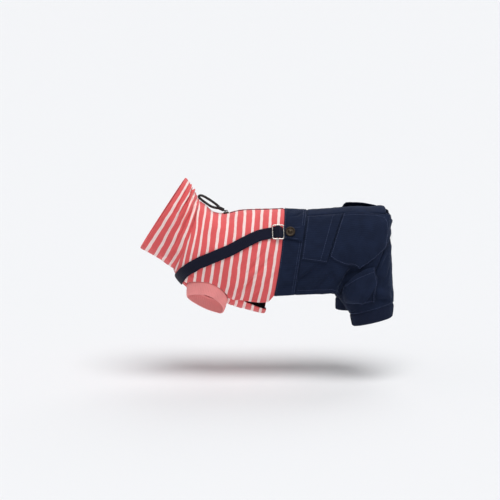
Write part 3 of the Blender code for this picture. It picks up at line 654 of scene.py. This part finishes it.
def sleeve_place(u, v):
    t = v * (SLEEVE_CUFF + 1.2) - 1.2
    around = u * 130
    puff = 0.7 * np.sin(math.pi * np.clip(v, 0, 1)) ** 0.6 + 0.3 * crumple(t * 0.6, around, 16, 11) * v
    rolled = -1.0 * np.clip(1 - (SLEEVE_CUFF - t) / 1.6, 0, 1) ** 2
    return t, around, puff + rolled + seam(t)


for side, top in SIDES:
    down = np.array([-0.18, 0.05 if side == "left" else -0.05, -0.98])
    surface = sleeve_surface(top, down / np.linalg.norm(down))
    piece = cut_cloth(f"sleeve_cuff_{side}", 240, 20, sleeve_place, surface, RIB, coral_rib, tube=True)
    sewn(piece, f"sleeve_cuff_{side}")

# ---------------------------------------------------------------- back zip
# A closed coil zip down the spine from the shoulders to the waist: a navy tape under the jersey's edges, two
# rows of moulded teeth, and a bronze slider at its front end. Its black rubber pull has a loop of cord and
# lies forward over the neck seam.

ZIP_TAPE_DEPTH, ZIP_SLIDER_T, PULL_BAR_RISE = 2.4, 96.9, 2.9
TEETH, FIRST_TOOTH, TOOTH_PITCH = 54, 103, 1.52


def tape_place(u, v):
    return ZIP_FRONT - 3 + v * (WAIST_SEAM - 1 - ZIP_FRONT + 3), u * 20 - 10, -ZIP_TAPE_DEPTH


tape = cut_cloth("zip_tape", 18, 76, tape_place, torso, 0.9, navy_elastic)
sewn(tape, "zip_tape")


def standing(x, z, point):
    """A frame in metres at a point in mm, from the ways of its X and Z."""
    made = Matrix((x, z.cross(x), z)).transposed().to_4x4()
    made.translation = Vector(point) * MM
    return made


def seat(surface, t, around, out):
    """A frame on a surface in metres: X toward the tail opening, Z out of the cloth."""
    here, above, ahead, behind = (
        Vector(surface(np.array([t + dt]), np.array([around]), np.array([out + up]))[0])
        for dt, up in ((0, 0), (0, 1), (1, 0), (-1, 0))
    )
    z = (above - here).normalized()
    x = ahead - behind
    return standing((x - z * x.dot(z)).normalized(), z, here)


def add_block(bm, size, middle, frame, bevel=0.0, segments=2):
    """A box with rounded edges in a frame, in mm."""
    made = bmesh.ops.create_cube(bm, size=1)["verts"]
    bmesh.ops.transform(bm, verts=made, matrix=Matrix.Translation(Vector(middle)) @ Matrix.Diagonal((*size, 1)))
    if bevel:
        edges = list({edge for vert in made for edge in vert.link_edges})
        rounded = bmesh.ops.bevel(
            bm, geom=edges, offset=bevel, segments=segments, profile=0.5, affect="EDGES", material=-1,
        )
        made = list({vert for face in rounded["faces"] for vert in face.verts} | {v for v in made if v.is_valid})
        made = list({v for vert in made for edge in vert.link_edges for v in edge.verts})
    bmesh.ops.transform(bm, verts=made, matrix=frame @ Matrix.Scale(MM, 4))


nylon_teeth = new_finish("navy_moulded_nylon", Base_Color=srgb("20243a"), Roughness=0.45)[0]
black_rubber = new_finish("black_moulded_rubber", Base_Color=srgb("141416"), Roughness=0.55)[0]
bronze = new_finish("antique_bronze", Base_Color=srgb("3d352d"), Metallic=1.0, Roughness=0.42)[0]
bm = bmesh.new()
for n in range(TEETH):
    for turn in (-1, 1):
        tooth_t = FIRST_TOOTH + n * TOOTH_PITCH + turn * TOOTH_PITCH / 4
        add_block(bm, (0.85, 1.9, 1.1), (0, 0, 0.3), seat(torso, tooth_t, turn * 0.75, -0.9))
stands_for(finish_piece("zip_teeth", bm, nylon_teeth), "zip_coil")

slider_seat = seat(torso, ZIP_SLIDER_T, 0, 0)
bm = bmesh.new()
add_block(bm, (8.4, 6, 1.3), (0, 0, 1.0), slider_seat, 0.5)
add_block(bm, (8.0, 5.6, 1.2), (0, 0, -0.9), slider_seat, 0.4)
add_block(bm, (2.4, 1.6, 2.4), (-2.4, 0, 0), slider_seat)
for x in (-2.15, 2.15):
    add_block(bm, (0.9, 2.1, 3.0), (x, 0, 2.9), slider_seat, 0.2)
add_block(bm, (5.4, 2.4, 0.9), (0, 0, 4.35), slider_seat, 0.3)
stands_for(finish_piece("zip_slider_body", bm, bronze), "zip_slider")


def tube_along(bm, points, radius, sides=10, closed=False):
    """A round tube through points, from a grid that is wrapped round them. Its ends are closed."""
    line = np.array(points, float)
    count = len(line)
    if closed:
        way = np.roll(line, -1, 0) - np.roll(line, 1, 0)
    else:
        way = np.gradient(line, axis=0)
    way /= np.linalg.norm(way, axis=1, keepdims=True)
    side = np.cross(way, (0.0, 0.0, 1.0) if abs(way[:, 2]).max() < 0.9 else (0.0, 1.0, 0.0))
    side /= np.linalg.norm(side, axis=1, keepdims=True)
    up = np.cross(side, way)
    rows = count if closed else count - 1
    grid = bmesh.ops.create_grid(bm, x_segments=sides, y_segments=rows, size=0.5)["verts"]
    for vert in grid:
        turn = (vert.co.x + 0.5) * math.tau
        i = round((vert.co.y + 0.5) * rows) % count
        vert.co = Vector(line[i] + radius * (side[i] * math.cos(turn) + up[i] * math.sin(turn)))
    bmesh.ops.remove_doubles(bm, verts=grid, dist=radius * 1e-3)
    if not closed:
        bmesh.ops.holes_fill(bm, edges=[edge for edge in bm.edges if edge.is_boundary], sides=sides)
    bmesh.ops.recalc_face_normals(bm, faces=bm.faces)


Loop = namedtuple("Loop", "run x z")
PULL_LOOP = [
    Loop(0, -68, 5.7), Loop(2, -75, 11.3), Loop(4, -84, 17.4), Loop(6, -92.5, 22), Loop(7, -97, 22.4),
    Loop(8, -98, 19.8), Loop(9, -94.5, 16.4), Loop(11, -86.5, 10.4), Loop(13, -78.5, 5.4), Loop(15, -69.1, 3.1),
]
PULL_CORD = 3.8
_, loop_x, loop_z = smooth(PULL_LOOP, np.linspace(0, 15, 61))
bm = bmesh.new()
tube_along(bm, np.stack([loop_x, loop_x * 0, loop_z], axis=1) * MM, PULL_CORD / 2 * MM, 10)
hinge = Vector(torso(np.array([ZIP_SLIDER_T]), np.array([0.0]), np.array([PULL_BAR_RISE]))[0]) * MM
lean = Matrix.Translation(hinge) @ Matrix.Rotation(math.radians(24), 4, "Y")
add_block(bm, (1.1, 5.6, 1.1), (0, 0, 0), lean, 0.3)
for y in (-2.4, 2.4):
    add_block(bm, (6.6, 1, 1.4), (-2.55, y, 0), lean, 0.3)
add_block(bm, (12.5, 5.4, 5), (-9.75, 0, 0.6), lean, 1.2, 3)
for x in (-13, -11.4, -9.8, -8.2):
    add_block(bm, (0.7, 5.8, 3.4), (x, 0, 0.6), lean, 0.25)
stands_for(finish_piece("zip_pull_grip", bm, black_rubber), "zip_pull", "zip_pull")

# ---------------------------------------------------------------- waistband
# Navy cotton twill, cut 34 mm deep and open at the belly. Its rear seam to the trousers is stitched twice,
# with thread a shade lighter than the cloth.

NAVY_SHEEN = srgb("94a6cc")
navy_twill = dyed_cloth(
    "navy_cotton_twill", "1b243a", (2.6, 1.3, 1.0), (0.07, 0.16, 60), 0.45,
    Roughness=0.86, Sheen_Weight=0.22, Sheen_Roughness=0.25, Specular_IOR_Level=0.1, Sheen_Tint=NAVY_SHEEN,
)
navy_thread = new_finish("navy_polyester_thread", Base_Color=srgb("364266"), Roughness=0.5)[0]
WAIST_HEM = [Edge(186, 124), Edge(220, 122.5)]
TWILL = 1.6
WAIST_CREASES = [
    Crease(1.6, 2.4, [(224, 105), (213, 109), (200, 111), (190, 116)]),
    Crease(1.1, 1.8, [(222, 84), (210, 92), (194, 97)]),
    Crease(0.9, 2.0, [(216, 12), (206, 26), (192, 30)]),
]


def waist_place(u, v):
    t = WAIST_SEAM + SEAM + v * (WAISTBAND_END + 1.5 - WAIST_SEAM - SEAM)
    half = straight(WAIST_HEM, t)
    around = (u * 2 - 1) * half
    height = 0.3 * crumple(t, around, 15, 21) + pinch(t - WAIST_SEAM) + seam(WAISTBAND_END - t)
    height = height + creased(WAIST_CREASES, t, np.abs(around))
    return t, around, height + hem((half - np.abs(around)) * TURN, 6, 0.4)


waistband = cut_cloth("waistband", 240, 32, waist_place, torso, TWILL, navy_twill)
sewn(waistband, "waistband")

STITCH, STITCH_PITCH = (1.15, 0.32, 0.24), 3.1


def stitch(name, rows):
    """Rows of lock stitch. A row is a surface, the places it passes and its height above the surface."""
    bm = bmesh.new()
    for surface, places, out in rows:
        ends = np.linspace(0, 1, len(places))
        shares = np.linspace(0, 1, 240)
        t, around = (np.interp(shares, ends, column) for column in zip(*places))
        line = surface(t, around, np.full(len(t), float(out)))
        above = surface(t, around, np.full(len(t), out + 1.0)) - line
        run = np.concatenate([[0], np.cumsum(np.linalg.norm(np.diff(line, axis=0), axis=1))])
        for at in np.arange(STITCH_PITCH / 2, run[-1], STITCH_PITCH):
            i = min(int(np.searchsorted(run, at)), len(run) - 2)
            x = Vector(line[i + 1] - line[i - 1]).normalized()
            z = Vector(above[i])
            z = (z - x * z.dot(x)).normalized()
            bmesh.ops.create_uvsphere(
                bm, u_segments=6, v_segments=4, radius=1,
                matrix=standing(x, z, line[i]) @ Matrix.Diagonal((*(size * MM for size in STITCH), 1)),
            )
    piece = finish_piece(name, bm, navy_thread)
    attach(piece, "garment")


stitch("waist_topstitch", [
    (torso, [(t, side * a) for a in np.linspace(0, 120, 40)], 0.25)
    for t in (WAISTBAND_END - 2.2, WAISTBAND_END - 5.6, WAIST_SEAM + 2.2) for side in (-1, 1)
])

# ---------------------------------------------------------------- trousers
# Navy cotton twill. A yoke panel lies along the spine, and each trouser half is side and leg in one piece,
# hemmed along the belly and drawn up on elastic beside the tail opening.

TROUSER = [
    Ring(220, 65.6, 1.1, 41.3, -157.5, 0, 57.5, -1),
    Ring(246, 91.5, 2.6, 69.0, -154.5, 0, 58.2, 0),
    Ring(272, 118.5, 4.8, 95.3, -150.0, 0, 59.2, 0),
    Ring(292, 141.0, 6.1, 108.0, -142.0, 0, 60, 0),
    Ring(306, 159.0, 5.0, 109.5, -131.0, -1, 60, 0),
    Ring(320, 178.6, 2.0, 111.5, -130.8, -3.5, 58.5, 0),
    Ring(336, 189.6, -7.5, 114.8, -133.8, -13, 50.5, 0),
    Ring(356, 190.5, -42.0, 118.5, -138.2, -22, 41.5, 0),
    Ring(376, 192.0, -74.8, 122.3, -142.9, -28, 33.5, 0),
    Ring(394, 193.5, -106.2, 126.0, -147.8, -31.5, 28, 0),
    Ring(404, 195.0, -122.6, 128.0, -150.4, -32.6, 25.7, 0),
    Ring(412, 195.0, -136.7, 129.6, -152.9, -33, 24.5, 0),
    Ring(430, 192.9, -156.9, 133.0, -170.7, -33, 22.5, 0),
]
TROUSER_FOLDS = [
    Fold(258, 90, 228, 106, 4.5, -2.4),
    Fold(270, 98, 232, 115, 5.0, 2.2),
    Fold(353, 0, 372, 76, 3.5, -2.6),
    Fold(388, 84, 404, 34, 4.5, 2.0),
    Fold(392, 190, 400, 260, 4.0, 1.6),
]
BACK_EDGE = [
    Edge(220, 25), Edge(292, 25), Edge(306, 26), Edge(320, 27), Edge(328, 22), Edge(336, 10),
    Edge(356, -8), Edge(376, -27), Edge(390, -58), Edge(402, -89.5), Edge(412, -89.5),
]
BELLY_EDGE = [
    Edge(220, 122.5), Edge(246, 123.5), Edge(272, 126), Edge(284, 131), Edge(292, 139), Edge(306, 160),
    Edge(320, 175), Edge(336, 187), Edge(356, 202), Edge(376, 222), Edge(390, 245), Edge(402, 269.6),
    Edge(412, 269.6),
]
LEG_SWING, LEG_LIFT, HIP = 12, 9, (147, -61)
SWING_START, SWING_END, SWING_TURNS = 236, 392, (110, 180)
GATHERED = 46  # mm along the trouser that the tail opening's elastic draws up, from the yoke's end
TAIL_RISE, RISE_START, RISE_END, RISE_EASE = 4.2, 304, 346, 20
YOKE_HALF = 26


def ease(k):
    k = np.clip(k, 0, 1)
    return k * k * (3 - 2 * k)


def gathers(t, around):
    """The ripples beside the tail opening, in mm."""
    near = np.clip(1 - (around - straight(BACK_EDGE, t)) / 34, 0, None)
    run = np.clip((t - YOKE_END) / GATHERED, 0, 1)
    return 1.5 * near * np.sin((t - YOKE_END) * math.tau / 11.5) * np.sin(math.pi * run) ** 0.5


def left_leg(t, around, out=0):
    """Points of the left trouser half, in mm."""
    def base(s, a):
        return ring_point(TROUSER, s, a)

    def cloth(s, a):
        height = fold_height(TROUSER_FOLDS, s, a) + gathers(s, a)
        return base(s, a) + outward(base, s, a) * height[..., None]
    t, around, out = np.broadcast_arrays(np.asarray(t, float), around, out)
    return cloth(t, around) + outward(cloth, t, around) * out[..., None]


def right_leg(t, around, out=0):
    """The mirrored half, its leg swung forward about the hip."""
    rear = ease((t - YOKE_END) / (SWING_END - YOKE_END))
    belly = ease((t - SWING_START) / (SWING_END - SWING_START))
    share = rear + (belly - rear) * ease((around - SWING_TURNS[0]) / (SWING_TURNS[1] - SWING_TURNS[0]))
    x, y, z = np.moveaxis(left_leg(t, around, out), -1, 0)
    x, z, turn = x - HIP[0], z - HIP[1], np.radians(LEG_SWING) * share
    return np.stack([
        np.cos(turn) * x + np.sin(turn) * z + HIP[0], -y,
        np.cos(turn) * z - np.sin(turn) * x + HIP[1] + LEG_LIFT * share,
    ], axis=-1)


def yoke_surface(t, share, out=0):
    """The yoke, whose second coordinate is the share of its half width, negative on the right."""
    t = t - 3 * (1 - share * share) * ease((t - YOKE_END + 40) / 40)
    _, _, _, _, _, centre_y, half_width, _ = smooth(TROUSER, t)
    spine = np.degrees(np.arcsin(centre_y / half_width))
    edge = straight(BACK_EDGE, t) - SEAM_TURN
    points = left_leg(t, spine + (edge - spine) * np.abs(share), out)
    points[..., 1] *= np.sign(share)
    return points


def tail_rise(t):
    """How far the cloth stands up at the tail opening, in mm."""
    return TAIL_RISE * ease((t - RISE_START) / RISE_EASE) * ease((RISE_END - t) / RISE_EASE)


def yoke_place(u, v):
    t = WAISTBAND_END + SEAM + v * (YOKE_END - WAISTBAND_END - SEAM)
    share = u * 2 - 1
    side = (1 - np.abs(share)) * YOKE_HALF
    height = 0.3 * crumple(t, share * 27, 17, 31) + pinch(side) + pinch(t - WAISTBAND_END)
    return t, share, height + hem(YOKE_END - t, 9, 0.5) + tail_rise(t)


TROUSER_CREASES = [
    Crease(3.0, 3.0, [(249, 85), (236, 98), (223, 105), (206, 110)]),
    Crease(-1.3, 3.0, [(262, 94), (247, 103.6), (230, 112)]),
    Crease(1.4, 2.0, [(268, 100), (254, 110), (240, 121)]),
    Crease(6.0, 7.0, [(288, 136), (290, 122), (300, 114), (314, 110), (330, 100)]),
    Crease(5.5, 2.6, [(349, -30), (355, 22), (357.4, 55), (368, 84)]),
    Crease(2.2, 3.2, [(262, 92), (268, 100), (274, 110)]),
    Crease(-1.2, 3.0, [(338, 40), (349, 59), (346.5, 82)]),
    Crease(-1.6, 3.2, [(386, 84), (391, 72), (398, 56), (404.6, 35)]),
    Crease(2.2, 2.0, [(398, 82), (402, 66), (408.5, 36)]),
    Crease(1.2, 2.4, [(372, 26), (382, 40), (385, 62)]),
    Crease(1.4, 2.2, [(330, 30), (340, 46), (352, 50)]),
    Crease(1.3, 2.0, [(396, 120), (403, 140), (400, 168)]),
    Crease(1.6, 2.2, [(330, 178), (352, 186), (378, 196)]),
]


def trouser_place(u, v):
    t = WAISTBAND_END + SEAM + v * (LEG_SEAM - WAISTBAND_END - 2 * SEAM)
    allowance = np.where(t < YOKE_END, 1.4, 0)
    start, end = straight(BACK_EDGE, t) + SEAM_TURN - allowance, straight(BELLY_EDGE, t)
    around = start + (end - start) * u
    width = np.interp(t, (220, 330, 412), (1.05, 0.95, 0.6))
    top, low = (around - start - allowance) * width, (end - around) * width
    height = 0.5 * crumple(t, around, 19, 33) + 0.2 * crumple(t, around, 8, 34)
    height = height + pinch(t - WAISTBAND_END) + pinch(LEG_SEAM - t, 1.2, 2.2)
    height = height + creased(TROUSER_CREASES, t, around)
    height = height + np.where(t < YOKE_END, seam(top), hem(top, 7, 0.5))
    open_belly = t < 300
    ripples = 0.5 * np.sin((t - YOKE_END) * math.tau / 4.3) * np.exp(-top / 7)
    small_gathers = ripples * ((t > YOKE_END + 1) & (t < YOKE_END + GATHERED))
    height = height + tail_rise(t) * np.exp(-((top / 26) ** 2))
    return t, around, height + small_gathers + np.where(open_belly, hem(low, 7, 0.5), pinch(low))


yoke = cut_cloth("back_yoke", 44, 84, yoke_place, yoke_surface, TWILL, navy_twill)
sewn(yoke, "back_yoke")
LEGS = (("left", left_leg), ("right", right_leg))
for side, surface in LEGS:
    piece = cut_cloth(f"trouser_{side}", 120, 160, trouser_place, surface, TWILL, navy_twill)
    sewn(piece, f"trouser_{side}")
    stitch(f"trouser_topstitch_{side}", [
        (surface, [(t, straight(BACK_EDGE, t) + turn) for t in np.linspace(222, 322, 30)], 0.3)
        for turn in (2.0, 5.2)
    ] + [
        (surface, [(t, straight(BELLY_EDGE, t) - 6) for t in np.linspace(222, 290, 24)], 0.6),
        (surface, [(t, straight(BACK_EDGE, t) + 6.5) for t in np.linspace(334, 396, 30)], 0.55),
    ])

# ---------------------------------------------------------------- leg cuffs
# Navy rib knit, doubled, 18 mm deep, sewn round the leg openings with the trousers' fullness eased in.

navy_rib = dyed_cloth(
    "navy_cotton_rib", "1d2439", (2.2, 1.7), (0.06, 0.1), 0.6,
    Roughness=0.9, Sheen_Weight=0.15, Sheen_Roughness=0.25, Specular_IOR_Level=0.1, Sheen_Tint=NAVY_SHEEN,
)
LEG_CUFF = 18


def cuff_place(u, v):
    t = LEG_SEAM - 1.5 + v * (LEG_CUFF + 1.5)
    around = u * 360 - 90
    below = LEG_SEAM + LEG_CUFF - t
    height = 0.5 * np.sin(math.pi * v) ** 0.5 + 0.12 * np.sin(np.radians(around) * 68)
    height = height + 0.35 * crumple(t * 0.5, around, 24, 41)
    return t, around, height + seam(t - LEG_SEAM) - 1.0 * np.clip(1 - below / 1.5, 0, 1) ** 2


for side, surface in LEGS:
    piece = cut_cloth(f"leg_cuff_{side}", 280, 18, cuff_place, surface, RIB, navy_rib, tube=True)
    sewn(piece, f"leg_cuff_{side}")
    stitch(f"leg_cuff_topstitch_{side}", [
        (surface, [(LEG_SEAM - 2.6, a) for a in np.linspace(-85, 262, 60)], 0.1),
    ])

# ---------------------------------------------------------------- pockets
# Patch pockets of the same twill. The front pair are rectangles with their mouths toward the tail, the back
# pair are pointed below and the right one gapes, and the thigh pair are full cargo pockets. Each has a
# turned hem at its mouth and is topstitched along its other edges.

Pattern = namedtuple("Pattern", "lines rows columns lift puff sag corner")
FRONT_POCKET = Pattern([[(221.2, 28.5), (273.3, 28.5)], [(221.6, 82), (257.4, 88)]], 60, 50, 0.6, 0.8, 1, 0)
BACK_POCKET = Pattern(
    [
        [(274.5, 29), (300, 29), (326, 31)],
        [
            (260.5, 81), (271, 87), (285, 93), (305, 100), (329, 102.5),
            (338.5, 91), (345.5, 76), (349, 61), (352, 46),
        ],
    ],
    80, 80, 0.9, 1.6, 1, 0,
)
THIGH_POCKET = Pattern(
    [
        [(305, 130), (321, 119), (336, 102), (355, 76)],
        [(326, 142), (352, 126), (369, 100), (376, 74)],
        [(358, 152), (380, 132), (393.5, 109.5), (400, 84)],
    ],
    70, 70, 0.5, 8, 1.3, 4,
)
BACK_POCKET_GAPE, THIGH_POCKET_GAPE = {"left": 1.5, "right": 10.5}, 6
CORNER_WAY = (0.796, 0.605)  # across a pocket's lower rear corner: along its width, and down its depth
EDGE_STITCH, REAR_HEM_STITCH, TOP_HEM_STITCH = 1.8, 11.5, 6  # mm from a pocket's edges


def on_lines(lines, m, k):
    """t and around at a share m along and a share k down a pocket's lines."""
    ends = np.linspace(0, 1, len(lines))
    columns = []
    for axis in (0, 1):
        across = [np.interp(m, np.linspace(0, 1, len(line)), [point[axis] for point in line]) for line in lines]
        low = np.minimum((k * (len(lines) - 1)).astype(int), len(lines) - 2)
        share = k * (len(lines) - 1) - low
        stacked = np.array(across)
        index = np.arange(len(m))
        columns.append(stacked[low, index] * (1 - share) + stacked[low + 1, index] * share)
    return columns


def corner_fold(m, k, width):
    """A ridge across a pocket's lower rear corner, steep on the corner's side, where a hollow is left."""
    beyond = ((m - 1) * CORNER_WAY[0] + (k - 0.5) * CORNER_WAY[1]) * width
    ridge = np.exp(-(np.minimum(beyond, 0) / 6) ** 2) * (1 - ease(beyond / 2))
    return 1.1 * ridge * ease((m - 0.5) / 0.2) - 0.5 * ease(beyond / 2) * ease((0.96 - m) / 0.04)


def pocket_place(pattern, gape, mouth_side, size, seed):
    """How a pocket lies: `mouth_side` is the edge left open, `size` its width and depth in mm."""
    def place(m, k):
        t, around = on_lines(pattern.lines, m, k)
        puff = pattern.puff * np.clip(4 * m * (1 - m), 0, 1) ** 0.7 * np.sin(math.pi * k ** pattern.sag)
        rim = np.minimum(m / 0.12, 1) ** 0.5 * (1 - m) ** 0.3
        mouth = gape * rim * np.clip(1 - k / 0.5, 0, 1) ** 1.5
        corner = pattern.corner * (m ** 6 * k ** 3 + corner_fold(m, k, size[0]))
        height = pattern.lift + TWILL + puff + mouth + corner
        distances = {
            "top": k * size[1], "rear": (1 - m) * size[0], "front": m * size[0], "low": (1 - k) * size[1],
        }
        for edge, distance in distances.items():
            height = height + (
                hem(distance, 12 if edge == "rear" else 7, 0.5) if edge == mouth_side
                else pinch(distance - 1.6, 0.3, 0.7) + pinch(distance, 0.7, 0.8)
            )
        return t, around, height + 0.35 * crumple(t, around, 13, seed)
    return place


def pocket_face(place, surface):
    """A pocket's own outer face as a surface named by m and k, each a share times 100."""
    def face(m, k, out=0):
        t, around, height = place(np.asarray(m, float) / 100, np.asarray(k, float) / 100)
        return surface(t, around, height + out)
    return face


POCKETS = (
    ("front_pocket", FRONT_POCKET, "rear", (44, 58), (0.05, 0.065), 51),
    ("back_pocket", BACK_POCKET, "top", (68, 70), (0.078, 0.08), 52),
    ("thigh_pocket", THIGH_POCKET, "top", (52, 40), (0.056, 0.044), 53),
)
for side, surface in LEGS:
    for name, pattern, mouth_side, size, flat, seed in POCKETS:
        gape = {"back_pocket": BACK_POCKET_GAPE[side], "thigh_pocket": THIGH_POCKET_GAPE}.get(name, 0)
        place = pocket_place(pattern, gape, mouth_side, size, seed)
        piece = cut_cloth(f"{name}_{side}", pattern.columns, pattern.rows, place, surface, TWILL, navy_twill)
        sewn(piece, f"{name}_{side}")
        along = np.linspace(2, 98, 24)
        near_x, near_y = (100 * EDGE_STITCH / length for length in size)
        seams = [[(near_x, k) for k in along], [(m, 100 - near_y) for m in along]]
        if mouth_side == "rear":
            seams.append([(100 - 100 * REAR_HEM_STITCH / size[0], k) for k in along])
        else:
            seams.append([(100 - near_x, k) for k in along])
            seams.append([(m, 100 * TOP_HEM_STITCH / size[1]) for m in along])
        face = pocket_face(place, surface)
        stitch(f"{name}_topstitch_{side}", [(face, places, 0.15) for places in seams])

# ---------------------------------------------------------------- straps
# Navy polyester webbing, 17 mm wide. Each runs from its slider forward and down the side to the middle of the
# chest panel's front, where it is sewn down. It rises over the slider's middle bar.

navy_webbing = dyed_cloth(
    "navy_polyester_webbing", "13162a", (1.6, 2.1), (0.09, 0.08), 0.6,
    Roughness=0.7, Sheen_Weight=0.05, Specular_IOR_Level=0.12,
)
Way = namedtuple("Way", "run along around")
STRAP_PATH = [
    Way(0, 181.2, 53.3), Way(1, 170, 53.4), Way(2.4, 148, 58), Way(4.2, 117, 72), Way(6, 88.5, 84.3),
    Way(7.2, 72, 98.5), Way(7.9, 65.5, 114), Way(8.5, 61.8, 131), Way(9.2, 60.6, 152), Way(9.9, 61, 172),
]
STRAP_WIDTH, STRAP_LIFT, WEBBING, LAID = 17, 0.85, 1.6, 0.45
STRAP_TUCK = 0.26  # how far the strap's end goes on under the slider's rear wire, in runs
STRAP_RISE, STRAP_RISE_RUN, SLIDER_PLACE = 5.0, 7.6, (177, 53.3)


def strap_surface(top):
    """A strap's surface: t is the run along its path times 20, around the share across it times 17."""
    def surface(t, around, out):
        run = t / 20
        _, along, turn = smooth(STRAP_PATH, run)
        _, ahead, ahead_turn = smooth(STRAP_PATH, run + 0.05)
        _, behind, behind_turn = smooth(STRAP_PATH, run - 0.05)
        here = top(along, turn)
        normal = top(along, turn, 1) - here
        way = top(ahead, ahead_turn) - top(behind, behind_turn)
        across = np.cross(normal, way)
        across *= (around * TURN / np.linalg.norm(across, axis=1))[:, None]
        tail, over = (top(along + 0.5, turn) - here) / 0.5, (top(along, turn + 0.5) - here) / 0.5
        aa, bb, ab = (np.sum(p * q, axis=1) for p, q in ((tail, tail), (over, over), (tail, over)))
        wa, wb = np.sum(across * tail, axis=1), np.sum(across * over, axis=1)
        scale = aa * bb - ab * ab
        bar = top(np.array([float(SLIDER_PLACE[0])]), np.array([SLIDER_PLACE[1]]))
        rise = STRAP_RISE * ease(1 - np.linalg.norm(here - bar, axis=1) / STRAP_RISE_RUN)
        return top(
            along + (wa * bb - wb * ab) / scale, turn + (wb * aa - wa * ab) / scale,
            STRAP_LIFT + WEBBING + rise + out,
        )
    return surface


def strap_place(u, v):
    share = u - 0.5
    rounded = -0.45 * (np.abs(share) * 2) ** 8
    return (v * (9.9 + STRAP_TUCK) - STRAP_TUCK) * 20, share * STRAP_WIDTH / TURN, rounded


for side, top in SIDES:
    surface = strap_surface(top)
    piece = cut_cloth(f"strap_{side}", 16, 170, strap_place, surface, WEBBING, navy_webbing)
    sewn(piece, f"strap_{side}")

# ---------------------------------------------------------------- slider buckles
# Rectangular sliders of nickel-plated steel wire with a middle bar, one on each strap.

nickel, tree, shader = new_finish("nickel_plated_wire", Base_Color=srgb("cfcac4"), Metallic=1.0, Roughness=0.22)
scratches = add(tree, "TexNoise", {
    "Vector": add(tree, "TexCoord").outputs["Object"], "Scale": 700.0, "Detail": 4.0,
})
worn = add(tree, "MapRange", {0: scratches.outputs[0], 1: 0.3, 2: 0.7, 3: 0.16, 4: 0.34})
tree.links.new(worn.outputs[0], shader.inputs["Roughness"])
SLIDER_LENGTH, SLIDER_HEIGHT, WIRE = 18.5, 23.4, 1.9


def rounded_rectangle(length, height, radius, steps=6):
    """Points of a rounded rectangle in the XY plane."""
    corners = []
    for n, (x, y) in enumerate(((1, 1), (-1, 1), (-1, -1), (1, -1))):
        for i in range(steps + 1):
            turn = math.pi / 2 * (n + i / steps)
            corners.append((
                x * (length / 2 - radius) + radius * math.cos(turn),
                y * (height / 2 - radius) + radius * math.sin(turn), 0,
            ))
    return corners


for side, top in SIDES:
    where = seat(top, *SLIDER_PLACE, STRAP_LIFT + WEBBING + LAID + WIRE / 2)
    bm = bmesh.new()
    outline = rounded_rectangle(SLIDER_LENGTH - WIRE, SLIDER_HEIGHT - WIRE, 2.2)
    tube_along(bm, outline, WIRE / 2, 10, closed=True)
    bar = [(0, y, -0.1) for y in np.linspace(-1, 1, 9) * (SLIDER_HEIGHT / 2 - WIRE / 2)]
    tube_along(bm, bar, WIRE / 2 * 0.9, 10)
    bm.transform(where @ Matrix.Scale(MM, 4))
    stands_for(finish_piece(f"slider_buckle_{side}", bm, nickel), f"slider_{side}")

# ---------------------------------------------------------------- tabs and buttons
# Each strap's slider hangs on a folded tab of twill on the waistband. A jeans button of antique bronze, with
# a raised rim and a low dome, is riveted through the tab.

TAB_FRONT, TAB_REAR, TAB_MIDDLE, TAB_HALF_FRONT, TAB_HALF_REAR, TAB_WALL = 184, 218.4, 53.4, 6, 9.3, 1.8
BUTTON_PLACE, BUTTON_RADIUS, BUTTON_DEPTH = (197, 52.6), 7.4, 3.2
Turned = namedtuple("Turned", "radius height")
BUTTON = [
    Turned(0, 0), Turned(0.85, 0), Turned(0.97, 0.12), Turned(1, 0.35), Turned(1, 0.75), Turned(0.96, 0.93),
    Turned(0.88, 1), Turned(0.78, 0.97), Turned(0.72, 0.85), Turned(0.68, 0.6), Turned(0.5, 0.55),
    Turned(0.42, 0.62), Turned(0.36, 0.8), Turned(0.22, 0.93), Turned(0, 0.97),
]


def tab_place(u, v):
    t = TAB_FRONT + (TAB_REAR - TAB_FRONT) * v
    half = TAB_HALF_FRONT + (TAB_HALF_REAR - TAB_HALF_FRONT) * v
    around = TAB_MIDDLE + half * (u * 2 - 1)
    edge = np.minimum(1 - np.abs(u * 2 - 1), 1) * half * TURN
    end = TAB_REAR - t
    height = LAID + TAB_WALL + 1.2 * ease((t - 206) / 12) + pinch(edge - 1.8, 0.3, 0.7)
    height = height + pinch(edge, 0.5, 0.8) + pinch(end, 0.5, 0.8)
    return t, around, height + 0.15 * crumple(t, around, 9, 61)


for side, top in SIDES:
    piece = cut_cloth(f"tab_{side}", 30, 44, tab_place, top, TAB_WALL, navy_twill)
    sewn(piece, f"tab_{side}")
    seams = [
        [
            (t, TAB_MIDDLE + turn * (TAB_HALF_FRONT + (t - TAB_FRONT) / 10.5 - 1.8))
            for t in np.linspace(187, 216, 12)
        ]
        for turn in (-1, 1)
    ]
    seams.append([(216.4, a) for a in np.linspace(46.5, 60.5, 8)])
    stitch(f"tab_topstitch_{side}", [(top, places, LAID + TAB_WALL + 0.1) for places in seams])
    bm = bmesh.new()
    profile = [
        bm.verts.new((point.radius * BUTTON_RADIUS, 0, point.height * BUTTON_DEPTH)) for point in BUTTON
    ]
    for a, b in zip(profile, profile[1:]):
        bm.edges.new((a, b))
    bmesh.ops.spin(
        bm, geom=bm.verts[:] + bm.edges[:], cent=(0, 0, 0), axis=(0, 0, 1), angle=math.tau, steps=48,
        use_merge=True,
    )
    bmesh.ops.remove_doubles(bm, verts=bm.verts, dist=1e-4)
    bmesh.ops.recalc_face_normals(bm, faces=bm.faces)
    bm.transform(seat(top, *BUTTON_PLACE, 2 * LAID + TAB_WALL) @ Matrix.Scale(MM, 4))
    stands_for(finish_piece(f"jeans_button_{side}", bm, bronze), f"button_{side}")
